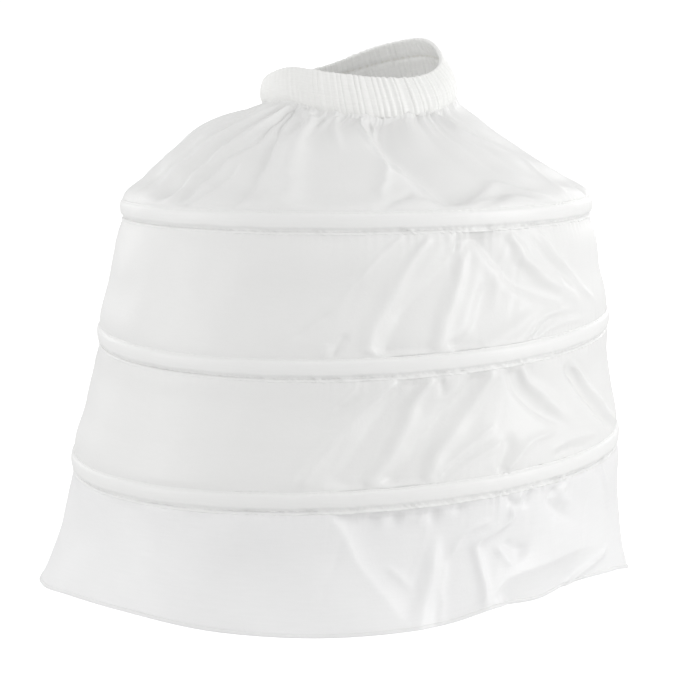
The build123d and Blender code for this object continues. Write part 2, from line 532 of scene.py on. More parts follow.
@dataclass(frozen=True)
class Woven:
    """A white woven cloth.

    colour and shade: the cloth's own colour, and that of its thinner stretches. roughness and sheen: its
    gloss and its soft edge light. thread: thread spacing as drawn. relief: how deep the weave is drawn.
    slub: how long the uneven stretches of a thread are. glow: how much light comes through softly. sheer:
    how much of the cloth is open between its threads.
    """

    name: str
    colour: str
    shade: str
    roughness: float
    sheen: float
    thread: float
    relief: float
    slub: float
    glow: float = 0.0
    sheer: float = 0.0

    WAVE_PERIOD = 0.31416  # period of Blender's band wave at scale 1
    CREPE = 0.0025  # size of the cloth's small crinkles
    CREPE_DEPTH = 0.0003
    SLUB_DEPTH = 0.25  # as a share of the weave's depth
    GLOSS_SWING = 0.02  # how much the gloss changes along a thread

    def material(self) -> bpy.types.Material:
        """The material: weave and slub in its colour, roughness and bump, on the cloth's flat coordinates."""
        material = bpy.data.materials.new(self.name)
        material.use_nodes = True
        tree = material.node_tree
        tree.nodes.clear()
        flat = add(tree, "UVMap", uv_map="cloth").outputs["UV"]
        frequency = self.WAVE_PERIOD / self.thread
        warp = add(tree, "TexWave", {"Vector": flat, "Scale": frequency}, bands_direction="X").outputs["Fac"]
        weft = add(tree, "TexWave", {"Vector": flat, "Scale": frequency}, bands_direction="Y").outputs["Fac"]
        weave = add(tree, "Math", {0: warp, 1: weft}, operation="MULTIPLY").outputs[0]
        fineness = (1 / self.slub, 1 / (3 * self.thread), 1.0)
        drawn_out = add(tree, "Mapping", {"Vector": flat, "Scale": fineness}).outputs[0]
        slub = add(tree, "TexNoise", {"Vector": drawn_out, "Scale": 1.0, "Detail": 2.0}).outputs["Fac"]
        crepe = add(tree, "TexNoise", {"Vector": flat, "Scale": 1 / self.CREPE, "Detail": 3.0}).outputs["Fac"]
        tone = add(tree, "MapRange", {"Value": slub, 1: 0.3, 2: 0.7, 3: 0.0, 4: 1.0}).outputs[0]
        mixed = add(tree, "Mix", {0: tone, 6: linear(self.shade), 7: linear(self.colour)}, data_type="RGBA")
        glossy, matt = self.roughness - self.GLOSS_SWING, self.roughness + self.GLOSS_SWING
        dull = add(tree, "MapRange", {"Value": slub, 3: matt, 4: glossy})
        faint = add(tree, "Math", {0: slub, 1: self.SLUB_DEPTH}, operation="MULTIPLY").outputs[0]
        raised = add(tree, "Math", {0: weave, 1: faint}, operation="ADD").outputs[0]
        fine = add(tree, "Bump", {"Height": raised, "Strength": 0.35, "Distance": self.relief})
        crinkled = {"Height": crepe, "Strength": 0.5, "Distance": self.CREPE_DEPTH, "Normal": fine.outputs[0]}
        coarse = add(tree, "Bump", crinkled)
        cloth = add(
            tree,
            "BsdfPrincipled",
            {
                "Base Color": mixed.outputs[2],
                "Roughness": dull.outputs[0],
                "Normal": coarse.outputs[0],
                "IOR": 1.5,
                "Sheen Weight": self.sheen,
                "Sheen Roughness": 0.4,
            },
        ).outputs[0]
        if self.glow:
            lit = {"Color": linear(self.colour), "Normal": coarse.outputs[0]}
            through = add(tree, "BsdfTranslucent", lit)
            cloth = add(tree, "MixShader", {0: self.glow, 1: cloth, 2: through.outputs[0]}).outputs[0]
        if self.sheer:
            holes = add(tree, "BsdfTransparent", {"Color": linear("#ffffff")})
            cloth = add(tree, "MixShader", {0: self.sheer, 1: cloth, 2: holes.outputs[0]}).outputs[0]
        add(tree, "OutputMaterial", {"Surface": cloth})
        return material


@dataclass(frozen=True)
class Plain:
    """A finish without a weave: rubber, thread, steel or plastic, with a fine unevenness in gloss and
    surface.

    grain: the size of that unevenness along x, y and z. relief: how deep it is.
    """

    name: str
    colour: str
    roughness: float
    metallic: float
    grain: tuple[float, float, float]
    relief: float

    GLOSS_SWING = 0.08

    def material(self) -> bpy.types.Material:
        """The material: a stretched noise on object coordinates in its roughness and bump."""
        material = bpy.data.materials.new(self.name)
        material.use_nodes = True
        tree = material.node_tree
        tree.nodes.clear()
        place = add(tree, "TexCoord").outputs["Object"]
        fineness = tuple(1 / size for size in self.grain)
        scaled = add(tree, "Mapping", {"Vector": place, "Scale": fineness}).outputs[0]
        grain = add(tree, "TexNoise", {"Vector": scaled, "Scale": 1.0, "Detail": 4.0}).outputs["Fac"]
        glossy, matt = self.roughness - self.GLOSS_SWING, self.roughness + self.GLOSS_SWING
        dull = add(tree, "MapRange", {"Value": grain, 3: glossy, 4: matt})
        bump = add(tree, "Bump", {"Height": grain, "Strength": 0.4, "Distance": self.relief})
        surface = add(
            tree,
            "BsdfPrincipled",
            {
                "Base Color": linear(self.colour),
                "Metallic": self.metallic,
                "Roughness": dull.outputs[0],
                "Normal": bump.outputs[0],
            },
        )
        add(tree, "OutputMaterial", {"Surface": surface.outputs[0]})
        return material


# Polyester lining satin, woven: white and smooth, with a broad soft gleam and a little light through it. Its
# threads are 0.1 mm apart and are drawn five times as coarse, which still shows only as a faint grain.
SKIRT_SATIN = Woven(
    "woven polyester lining satin", "#f4f4f3", "#f3f3f2", 0.42, 0.12, 0.5 * MM, 0.05 * MM, 22 * MM, glow=0.10
)
# The same satin doubled over the elastic, so that no light comes through. Its colours are a little darker
# than the skirt satin's: painted shade on the band.
BAND_SATIN_WITH_PAINTED_SHADE = Woven("shirred polyester satin", "#f2f2f0", "#eeeeec", 0.45, 0.05, 0.5 * MM, 0.06 * MM, 12 * MM)
# Folded satin tape, ironed flat: a little brighter and glossier than the skirt.
CASING_TAPE = Woven(
    "folded satin tape", "#f6f6f5", "#f4f4f3", 0.40, 0.10, 0.5 * MM, 0.05 * MM, 30 * MM, glow=0.06
)
# Polyester organza, a crisp sheer weave: it shows a hint of what is behind it.
ORGANZA = Woven(
    "crisp polyester organza", "#fafafa", "#f8f8f8", 0.40, 0.10, 0.6 * MM, 0.06 * MM, 26 * MM, glow=0.14,
    sheer=0.02,
)
# Woven flat elastic: dull covered rubber, ribbed lengthways.
ELASTIC = Plain("woven flat elastic", "#e6e5df", 0.8, 0.0, (20 * MM, 20 * MM, 1.2 * MM), 0.2 * MM)
# Spun polyester sewing thread, twisted, with a slight gloss.
THREAD = Plain("spun polyester thread", "#fafaf8", 0.5, 0.0, (0.4 * MM, 0.4 * MM, 0.4 * MM), 0.05 * MM)
# Cold-rolled spring steel strip, brushed along its length.
STRIP = Plain("brushed spring steel strip", "#a9abad", 0.35, 1.0, (6 * MM, 6 * MM, 0.3 * MM), 0.01 * MM)
# Extruded clear PVC sleeve, which reads as a milky grey.
SLEEVE = Plain("extruded PVC sleeve", "#d9dcdf", 0.2, 0.0, (3 * MM, 3 * MM, 3 * MM), 0.01 * MM)


# -------------------------------------------------------------------------------- cloth tiers
class Half(Enum):
    """The front or the back panel of a tier, as its first and last turn and its points across and down."""

    front = (-SIDE_SEAM, SIDE_SEAM, 400, 62)
    back = (SIDE_SEAM, 3 * SIDE_SEAM, 330, 52)


@dataclass
class Tier:
    """A tier of cloth between two seams, cut as a front and a back panel.

    lines: the tier's surface as lines round the body, each with its share. folds: its folds and swells.
    top_rise, foot_rise and foot_out: how the lines at share 0 and 1 are raised or pushed out round the body.
    gathers: how deep the gathering just below the upper seam is. pucker: how strongly each seam puckers the
    cloth, round the body. slack: how far the cloth strays from the plain surface between its folds. cut:
    width and height of each panel before it was sewn, not used. cut_share: how much of that rectangle it
    fills, not used.
    fixed_foot: whether its foot is sewn to something. held and rests_on: how the panels are held and which
    pieces they rest on, not used.
    """

    name: str
    slot: str
    finish: bpy.types.Material
    lines: tuple[tuple[float, Round], ...]
    folds: tuple[Fold | Swell, ...]
    cut: tuple[float, float]
    seed: int
    cut_share: float = 1.0
    top_rise: Wave | None = None
    foot_rise: Wave | None = None
    foot_out: Wave | None = None
    gathers: float = 0.0
    pucker: Wave = Wave.lengths((0, 0.4), (180, 0.4))
    slack: float = 0.5 * MM
    thickness: float = 0.5 * MM
    held: str = "gathered"
    fixed_foot: bool = True
    rests_on: tuple[str, ...] = ()

    PUCKER_PITCH = 9 * MM
    PUCKER_DEPTH = 12 * MM
    PUCKER_START = 4 * MM  # the distance past a seam at which its puckers begin
    FOOT_PUCKERS = 0.6  # the lower seam's puckers as a share of the upper seam's
    SEAM_EASE = 6 * MM
    SEAM_HOLD = 0.35  # how much of a fold is left where it runs into a seam
    SIDE_EASE = 30 * MM
    SLACK_LENGTHS = (110 * MM, 45 * MM)
    PINCH = (0.9 * MM, 2.2 * MM)  # depth and width of the side seams
    # Three sizes of gathers: each one's pitch, how far down the cloth it reaches, and its share.
    GATHERS = ((8 * MM, 16 * MM, 0.35), (19 * MM, 42 * MM, 0.6), (47 * MM, 95 * MM, 0.8))
    GATHER_FULLNESS = 0.4  # how far the gathers stand out between their valleys
    UPPER_EDGE = 0.45  # the share of the tier over which the shape of its upper edge dies away
    LOWER_EDGE = (0.3, 0.7)  # the share at which the shape of its lower edge begins, and over which it comes

    def __post_init__(self) -> None:
        """Measures the tier: its shares, mean radius and height along the cloth at the front middle."""
        self.first, self.last = self.lines[0][0], self.lines[-1][0]
        belt = self.terms(np.array([0.5]))[0]
        self.radius = float(belt[2] + belt[3]) / 2
        middle = self.surface(np.linspace(0, 1, 41), np.array([0.0]))[:, 0]
        self.tall = float(np.linalg.norm(np.diff(middle, axis=0), axis=1).sum())

    def terms(self, shares: np.ndarray) -> np.ndarray:
        """The numbers of the line round the body at each share, carried smoothly between the given lines."""
        knots = np.array([share for share, _ in self.lines])
        values = np.array([[*vars(line).values()] for _, line in self.lines])
        return glide(knots, values, shares)

    def surface(self, shares: np.ndarray, turns: np.ndarray) -> np.ndarray:
        """The tier before its folds: the lines round the body, with the rises and flare of its two edges.

        Args:
            shares: places down the tier.
            turns: places round it.

        Returns:
            Points by share, turn and xyz.
        """
        points = oval(self.terms(shares)[:, None, :], np.radians(turns)[None, :])
        start, length = self.LOWER_EDGE
        upper = (1 - ease(shares / self.UPPER_EDGE))[:, None]
        lower = ease((shares - start) / length)[:, None]
        if self.top_rise:
            points[..., 2] += upper * self.top_rise.at(turns)
        if self.foot_rise:
            points[..., 2] += lower * self.foot_rise.at(turns)
        if self.foot_out:
            points += (lower * self.foot_out.at(turns))[..., None] * away(turns)
        return points

    def flat(self, turn: float | np.ndarray, share: float | np.ndarray) -> tuple:
        """Flat coordinates in metres of a place on the tier: round it at its mean radius, and down it."""
        return np.radians(turn) * self.radius, share * self.tall

    def relief(self, turns: np.ndarray, shares: np.ndarray) -> np.ndarray:
        """How far the finished cloth lies from the plain surface, along its normal.

        The sum of its folds and of a slow slack unevenness, held back near the seams, plus the ripples of
        each seam, which die away down or up the cloth as exp(-distance / depth), and a pinch along each side
        seam.

        Args:
            turns: turn of each point.
            shares: share of each point.

        Returns:
            Lengths with the shape of turns.
        """
        across, down = self.flat(turns, shares)
        side = self.radius * np.radians(np.abs(np.mod(turns, 180) - SIDE_SEAM))
        slack = self.slack * Ripple(self.seed, *self.SLACK_LENGTHS).sheet(across, down)
        lift = slack * ease(side / self.SIDE_EASE)
        for fold in self.folds:
            for whole in (-1, 0, 1):
                lift += fold.relief(self, across + whole * 2 * math.pi * self.radius, down)
        above, below = down, self.tall - down
        hold = self.SEAM_HOLD + (1 - self.SEAM_HOLD) * ease(above / self.SEAM_EASE)
        if self.fixed_foot:
            hold = hold * (self.SEAM_HOLD + (1 - self.SEAM_HOLD) * ease(below / self.SEAM_EASE))
        depth, width = self.PINCH
        pinch = depth * np.exp(-((side / width) ** 2))
        return lift * hold - pinch + self.seam_ripples(turns, above, below)

    def seam_ripples(self, turns: np.ndarray, above: np.ndarray, below: np.ndarray) -> np.ndarray:
        """The ripples that the two seams draw into the cloth.

        Args:
            turns: turn of each point.
            above: distance below the upper seam.
            below: distance above the lower seam.

        Returns:
            Lengths with the shape of turns.
        """
        strength = self.pucker.at(turns)
        crimp = strength * puckers(turns, self.radius, self.PUCKER_PITCH, self.seed)
        fading = np.exp(-np.maximum(above, 0) / self.PUCKER_DEPTH)
        ripples = crimp * fading * ease(1 + above / self.PUCKER_START)
        if self.fixed_foot:
            other = strength * puckers(turns, self.radius, self.PUCKER_PITCH, self.seed + 1)
            fading = np.exp(-np.maximum(below, 0) / self.PUCKER_DEPTH)
            ripples += self.FOOT_PUCKERS * other * fading * ease(1 + below / self.PUCKER_START)
        if self.gathers:
            for pitch, depth, share in self.GATHERS:
                fan = puckers(turns, self.radius, pitch, self.seed + round(pitch / MM))
                fading = np.exp(-np.maximum(above, 0) / depth)
                ripples += self.gathers * share * (fan + self.GATHER_FULLNESS) * fading
        return ripples

    def finished(self, share: np.ndarray, turn: np.ndarray) -> tuple[np.ndarray, np.ndarray]:
        """The finished cloth on a grid.

        Args:
            share: places down the tier.
            turn: places round it.

        Returns:
            Points, and unit normals of the plain surface, by share, turn and xyz.
        """
        turns, shares = np.meshgrid(turn, share)
        plain = self.surface(share, turn)
        normals = outward(plain)
        return plain + normals * self.relief(turns, shares)[..., None], normals

    def panel(self, half: Half) -> bpy.types.Object:
        """Builds and dresses one panel.

        Args:
            half: front or back.

        Returns:
            The panel.
        """
        start, end, columns, rows = half.value
        turn, share = np.linspace(start, end, columns), np.linspace(self.first, self.last, rows)
        points, normals = self.finished(share, turn)
        faces = outside_out(grid_faces(rows, columns, ring=False), points, normals)
        flat = np.stack(self.flat(*np.meshgrid(turn, share)), axis=-1)
        name = f"{self.name}_{half.name}"
        piece = build(f"{name}_cloth", points, faces, flat)
        thicken(piece, self.thickness)
        piece.data.materials.append(self.finish)
        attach(piece, BODY)
        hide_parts(name)
        return piece

    def dress(self, going: list[bpy.types.Object] | None = None) -> None:
        """Builds both panels and reports them.

        Args:
            going: the pieces sewn to the front panel, not used.
        """
        for half, sewn in ((Half.front, going or []), (Half.back, [])):
            piece = self.panel(half)
            log.info("%s: %d points", piece.name, len(piece.data.vertices))


def away(turns: np.ndarray) -> np.ndarray:
    """Level unit directions away from the body's middle at each turn: (sin t, -cos t, 0)."""
    angle = np.radians(turns)
    return np.stack([np.sin(angle), -np.cos(angle), np.zeros_like(angle)], axis=-1)


def puckers(turns: np.ndarray, radius: float, pitch: float, seed: int) -> np.ndarray:
    """An uneven ripple round the body, about -1 to 1: sin(n t + wander), stronger and weaker in turn.

    The number n of ripples in a whole turn is whole, and wander and strength repeat with the turn, so it
    closes.

    Args:
        turns: turn of each point.
        radius: the radius at which pitch is measured.
        pitch: mean length of a ripple.
        seed: the number that fixes the unevenness.

    Returns:
        An array with the shape of turns.
    """
    angle = np.radians(turns)
    count = max(1, round(2 * math.pi * radius / pitch))
    rng = np.random.default_rng(seed)
    waves, wander, mean, swing = 8, 2.6, 0.7, 0.5
    orders = rng.integers(2, max(4, count // 3), (2, waves))
    phases = rng.uniform(0, 2 * math.pi, (2, waves))
    slow = np.sin(angle[..., None, None] * orders + phases).sum(-1) / math.sqrt(waves)
    return np.sin(count * angle + wander * slow[..., 0]) * (mean + swing * slow[..., 1])


# -------------------------------------------------------------------------------- stitches
@dataclass(frozen=True)
class StitchRow:
    """A row of machine stitches along a line round the body.

    Each stitch is a short rounded thread: a chain of rings whose radius follows a half circle, sunk at its
    two ends. slant: the degrees by which it lies across the row.
    """

    pitch: float = 3.0 * MM
    length: float = 2.3 * MM
    radius: float = 0.22 * MM
    slant: float = 6.0

    SIDES = 5
    RINGS = 4
    BLUNTNESS = 0.02  # square of the end rings' size, as a share of the middle's
    SINK = 1.2  # how deep the ends lie, in radii

    def mesh(
        self, places: np.ndarray, along: np.ndarray, normals: np.ndarray
    ) -> tuple[np.ndarray, np.ndarray]:
        """Points and faces of all stitches.

        Args:
            places: middle of each stitch.
            along: unit direction of the row at each stitch.
            normals: unit direction away from the cloth at each stitch.

        Returns:
            Points, and four point numbers for each face.
        """
        beside = np.cross(normals, along)
        lean = math.radians(self.slant)
        heading = along * math.cos(lean) + beside * math.sin(lean)
        beside = np.cross(normals, heading)
        t = np.linspace(-1, 1, self.RINGS)
        bulge = np.sqrt(np.maximum(1 - t**2, self.BLUNTNESS)) * self.radius
        sink = -self.radius * self.SINK * t**2
        around = np.linspace(0, 2 * math.pi, self.SIDES, endpoint=False)
        side = bulge[:, None] * np.cos(around)
        lift = sink[:, None] + bulge[:, None] * np.sin(around)
        run = np.broadcast_to((t * self.length / 2)[:, None], side.shape)
        points = (
            places[:, None, None, :]
            + heading[:, None, None, :] * run[..., None]
            + beside[:, None, None, :] * side[..., None]
            + normals[:, None, None, :] * lift[..., None]
        )
        one = grid_faces(self.RINGS, self.SIDES, ring=True)
        offsets = np.arange(len(places))[:, None, None] * (self.RINGS * self.SIDES)
        return points.reshape(-1, 3), (one[None] + offsets).reshape(-1, 4)

    def turns(self, radius: float) -> np.ndarray:
        """The turns at which a closed row of that radius has its stitches."""
        count = round(2 * math.pi * radius / self.pitch)
        return np.linspace(-180, 180, count, endpoint=False)


def sew(
    name: str, rows: list[tuple[np.ndarray, np.ndarray, np.ndarray]], row: StitchRow
) -> bpy.types.Object:
    """Makes one piece of thread from several rows of stitches.

    Args:
        name: the piece's name.
        rows: places, directions and normals of each row.
        row: the kind of stitch.

    Returns:
        The thread.
    """
    points, faces = [], []
    for places, along, normals in rows:
        some, quads = row.mesh(places, along, normals)
        faces.append(quads + sum(len(part) for part in points))
        points.append(some)
    piece = build(name, np.concatenate(points), np.concatenate(faces))
    piece.data.materials.append(bpy.data.materials.get(THREAD.name) or THREAD.material())
    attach(piece, BODY)
    log.info("%s: %d stitches", name, len(piece.data.vertices) // (row.RINGS * row.SIDES))
    return piece


def directions(points: np.ndarray) -> np.ndarray:
    """Unit directions along a closed row of points, from each one's last neighbour to its next."""
    along = np.roll(points, -1, axis=0) - np.roll(points, 1, axis=0)
    return along / np.linalg.norm(along, axis=1, keepdims=True)


# -------------------------------------------------------------------------------- casings
@dataclass
class Casing:
    """A casing: satin folded round a hoop and sewn to the skirt, with a narrow rolled lip below its lower
    seam.

    line: the hoop's line, from which the section is measured out and up. pucker: how strongly its lower seam
    is puckered, round the body. rise and fall: how far the tunnel reaches above and below that line. edge
    and bulge: how far out its edges and its middle lie. groove: how far out the lower seam lies. wall: the
    folded satin's thickness. near: how close its inner face comes to the line.
    """

    level: str
    line: Round
    seed: int
    finish: bpy.types.Material
    pucker: Wave

    rise: float = 7.3 * MM
    fall: float = 6.5 * MM
    bulge: float = 2.4 * MM
    edge: float = 1.2 * MM
    groove: float = 0.7 * MM
    wall: float = 0.5 * MM
    near: float = 0.1 * MM

    STEPS = 960
    TUNNEL_ROWS = 13
    CUT_WIDTH = 28 * MM
    SQUARENESS = 0.25  # the section's power: a full square at 0, a half circle at 0.5
    SLANT = 1.2  # how far the twist's puckers lean: along by this much for each length up
    PUCKER_LEAST = 0.2 * MM
    TWIST_PITCH = 0.7 * Tier.PUCKER_PITCH
    TOP_EDGE = ((0.5, 9.1), (1.1, 8.9), (1.35, 8.4), (1.25, 7.8))  # out and up, in millimetres
    LIP = ((0.6, -9.3), (1.2, -9.8), (1.7, -10.4), (1.8, -11.0), (1.6, -11.6), (1.0, -12.0))
    PUSH_OUT = (0.5, 0.9, 0.35)  # how far the upright puckers, the twist and the top edge's puckers reach out
    PUSH_UP = (0.2, 0.25, 0.25)  # and how far up the upright puckers, the twist and the top edge's twist
    DENT_PITCHES = (23 * MM, 57 * MM)
    DENT_HEIGHT = 4 * MM
    DENTS = 0.03  # how much the tunnel's fullness wanders
    DRIFT = 0.3 * MM  # how far the whole casing wanders up and down

    def section(self) -> np.ndarray:
        """The outer face's section as (out, up) points.

        A rolled top edge; the tunnel, out = edge + bulge cos(t)^0.25, with t from a quarter turn above its
        middle to a quarter turn below it; the groove of the lower seam; and the rolled lip under it.

        Returns:
            Points from top to bottom.
        """
        t = np.linspace(-0.98, 1.0, self.TUNNEL_ROWS)
        up = self.rise - (self.rise + self.fall) * (t + 1) / 2
        bow = np.maximum(np.cos(t * math.pi / 2), 0) ** self.SQUARENESS
        tunnel = np.stack([self.edge + self.bulge * bow, up], axis=1)
        shoulder = (self.groove + 0.3 * MM, -self.fall - 0.7 * MM)
        groove = np.array([shoulder, (self.groove, -self.fall - 1.6 * MM)])
        return np.concatenate([np.array(self.TOP_EDGE) * MM, tunnel, groove, np.array(self.LIP) * MM])

    def ring(self, section: np.ndarray, turns: np.ndarray) -> np.ndarray:
        """Carries a section round the hoop.

        The groove and the lip below it wave in and out and up and down with upright and slanting puckers,
        the top edge does so less, and the tunnel's fullness wanders.

        Args:
            section: (out, up) points.
            turns: places round the hoop.

        Returns:
            Points by section point, turn and xyz.
        """
        out, up = section[:, 0][:, None], section[:, 1][:, None]
        strength = self.PUCKER_LEAST + self.pucker.at(turns)
        crimp = strength * puckers(turns, self.line.wide, Tier.PUCKER_PITCH, self.seed)
        slanting = turns[None] + np.degrees(self.SLANT * up / self.line.wide)
        twist = strength * puckers(slanting, self.line.wide, self.TWIST_PITCH, self.seed + 3)
        low = ease((-up - 0.45 * self.fall) / (0.6 * self.fall))
        high = ease((up - 0.75 * self.rise) / (0.3 * self.rise))
        fine, broad = (puckers(turns, self.line.wide, pitch, self.seed + 7) for pitch in self.DENT_PITCHES)
        fullness = 1 + self.DENTS * fine * np.cos(up / self.DENT_HEIGHT + 2 * broad) + self.DENTS * broad
        a, b, c = self.PUSH_OUT
        grown = self.near + (out - self.near) * fullness + low * (a * crimp + b * twist) + c * high * crimp
        a, b, c = self.PUSH_UP
        raised = up + low * (a * crimp + b * twist) + c * high * twist + self.DRIFT * broad
        upwards = np.array([0, 0, 1])
        return self.line.at(turns)[None] + grown[..., None] * away(turns) + raised[..., None] * upwards

    def dress(self) -> None:
        """Builds the tape and its two rows of stitches."""
        turns = np.linspace(-180, 180, self.STEPS, endpoint=False)
        outer = self.section()
        inner = outer[::-1].copy()
        inner[:, 0] = np.maximum(inner[:, 0] - self.wall, self.near)
        inner[:, 1] = np.clip(inner[:, 1], outer[-1, 1] + 0.05 * MM, outer[0, 1] - 0.05 * MM)
        section = np.concatenate([outer, inner])
        points = self.ring(section, turns)
        faces = grid_faces(len(section), self.STEPS, ring=True, tube=True)
        faces = facing(faces, (len(outer) - 1) * self.STEPS, points, points * (1.0, 1.0, 0.0))
        run = np.concatenate([[0], np.cumsum(np.linalg.norm(np.diff(section, axis=0), axis=1))])
        flat = flat_grid(np.radians(turns) * self.line.wide, run)
        piece = build(f"casing_{self.level}_tape", points, faces, flat)
        piece.data.materials.append(self.finish)
        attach(piece, BODY)
        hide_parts(f"casing_{self.level}")
        length, thread = 2 * math.pi * self.line.wide, self.stitches()
        log.info("%s: %d points", piece.name, len(piece.data.vertices))

    def stitches(self) -> bpy.types.Object:
        """The two rows of stitches that hold the tape, under its top edge and in the groove."""
        row = StitchRow(radius=0.15 * MM)
        turns = row.turns(self.line.wide)
        rows = []
        for out, up in ((1.3 * MM, 7.8 * MM), (self.groove + 0.05 * MM, -self.fall - 1.7 * MM)):
            places = self.ring(np.array([[out, up]]), turns)[0]
            rows.append((places, directions(places), away(turns)))
        return sew(f"casing_{self.level}_stitches", rows, row)


def facing(faces: np.ndarray, outer: int, points: np.ndarray, looks: np.ndarray) -> np.ndarray:
    """Turns all faces of a closed surface round if its outer part looks inwards.

    Args:
        faces: the quads, the outer part's first.
        outer: how many belong to the outer part.
        points: the places of their points.
        looks: the way that each point of the outer part should look.

    Returns:
        The quads, all reversed or none.
    """
    turned = outside_out(faces[:outer], points, looks)
    return faces if np.array_equal(turned, faces[:outer]) else faces[:, ::-1]


# -------------------------------------------------------------------------------- waistband
@dataclass
class Waistband:
    """The waistband: satin folded over the elastic and shirred into fine upright ribs.

    top and foot: the ovals of its two edges, whose heights are those of top_height and foot_height.
    crispness: how deep its ribs are round the body. half_thick: half the band's thickness, elastic and both
    walls.
    """

    finish: bpy.types.Material
    rubber: bpy.types.Material
    top: Round = Round(-7 * MM, 0.0, 88 * MM, 59 * MM)
    foot: Round = Round(1.0 * MM, 0.0, 95 * MM, 72 * MM)
    top_height: Wave = Wave.lengths(
        (-90, 3), (-67, 12), (-42, 19), (-15, 14), (20, 8.5), (45, 9), (68, 16), (90, 27), (125, 45),
        (155, 40), (200, 17), (235, 6),
    )
    foot_height: Wave = Wave.lengths(
        (-90, -18), (-68, -16), (-50, -15), (-38, -17.5), (-26, -23), (0, -28), (35, -27), (62, -21),
        (90, -11), (130, 0), (180, -9), (225, -18),
    )
    crispness: Wave = Wave(
        ((-100, 0.5), (-60, 0.35), (-25, 0.6), (5, 1.15), (45, 1.25), (75, 0.7), (130, 0.9), (210, 0.9))
    )
    half_thick: float = 1.9 * MM
    ribs: int = 98
    rib_depth: float = 1.2 * MM
    thickness: float = 0.4 * MM

    STEPS = 980
    WALL_ROWS = 21
    FOLD_ROWS = 6
    RADIUS = 80 * MM  # the radius at which the pitches of ribs and stitches are measured
    MIDDLE_SEAM = 0.45  # share up the band of the stitches through its ribs
    HEADER_SEAM = 0.65  # share up the band of the seam inside, above the elastic
    HEADER_DEPTH = 1.9 * MM
    SEAM_WIDTH = 0.04
    RIB_SHAPE = 0.5  # the power that makes the ribs round and their valleys narrow
    RIB_LEVEL = 0.4  # the height in a rib that lies on the plain surface
    RIB_WANDER = 0.55
    RIB_LEAN = 0.5
    RIB_DEPTHS = (0.8, 0.35)  # mean depth of the ribs and how much it changes
    SEAM_PINCH = 0.45  # how much of a rib's depth the stitches take away
    FOOT_SEAM = 0.05
    BARREL = (2.2, 3.0)  # how far the band bulges, and how much more on its full side, in millimetres
    FULL_SIDE = (30, 150, 50)  # the full side's first and last turn, and how many degrees it takes to come
    DRAWN_IN = (1.5 * MM, 0.12)  # how far the foot is drawn in, and up to which share of the height
    CRINKLE = 0.3  # depth of the inner wall's crinkles, in ribs
    CUT = (0.62, 0.092)
    STRIP_HEIGHTS = (0.1, 0.3, 0.5, 0.7, 0.88)
    STRIP_STEPS = 320
    STRIP_THICKNESS = 1.0 * MM
    SEED = 5

    def wall(self, height: np.ndarray, turns: np.ndarray) -> np.ndarray:
        """The band's middle surface: from its foot to its top edge, with a barrel that is fuller on the
        right.

        The barrel is sin(pi h) times its fullness at height h, and the foot is drawn in a little.

        Args:
            height: share up the band, from 0 at its foot.
            turns: places round it.

        Returns:
            Points by height, turn and xyz.
        """
        up = height[:, None, None]
        foot, top = self.foot.at(turns), self.top.at(turns)
        foot[:, 2], top[:, 2] = self.foot_height.at(turns), self.top_height.at(turns)
        (least, more), (first, last, coming), (depth, reach) = self.BARREL, self.FULL_SIDE, self.DRAWN_IN
        full = (least + more * ease((turns - first) / coming) * ease((last - turns) / coming)) * MM
        drawn_in = depth * np.exp(-((height / reach) ** 2))
        barrel = np.sin(math.pi * np.clip(height, 0, 1))[:, None] * full - drawn_in[:, None]
        return foot + (top - foot) * up + away(turns) * barrel[..., None]

    def dip(self, height: np.ndarray, seam: float) -> np.ndarray:
        """How much a seam at one height draws in each height: exp(-(distance / seam width)^2)."""
        return np.exp(-(((height - seam) / self.SEAM_WIDTH) ** 2))

    def shirring(self, height: np.ndarray, turns: np.ndarray) -> np.ndarray:
        """The ribs' relief, from 0 in a valley to 1 on a rib.

        |sin(ribs t / 2)|^0.5 with uneven pitch, each rib leaning a little on its own, deeper and shallower in
        turn and by the band's crispness, and pinched by the stitches that run along the band.

        Args:
            height: share up the band, one for each row.
            turns: places round it.

        Returns:
            An array by height and turn.
        """
        up = height[:, None]
        wander = puckers(turns, self.RADIUS, 24 * MM, self.SEED)[None]
        lean = puckers(turns, self.RADIUS, 31 * MM, self.SEED + 1)[None]
        mean, swing = self.RIB_DEPTHS
        uneven = mean + swing * puckers(turns, self.RADIUS, 9 * MM, self.SEED + 2)
        depth = uneven[None] * self.crispness.at(turns)[None]
        even = self.ribs * np.radians(turns)[None] / 2
        phase = even + self.RIB_WANDER * wander + self.RIB_LEAN * lean * (up - 0.5)
        rib = np.abs(np.sin(phase)) ** self.RIB_SHAPE * depth
        seams = self.dip(up, self.MIDDLE_SEAM) + np.exp(-((up / self.FOOT_SEAM) ** 2))
        return rib * (1 - self.SEAM_PINCH * np.clip(seams, 0, 1))

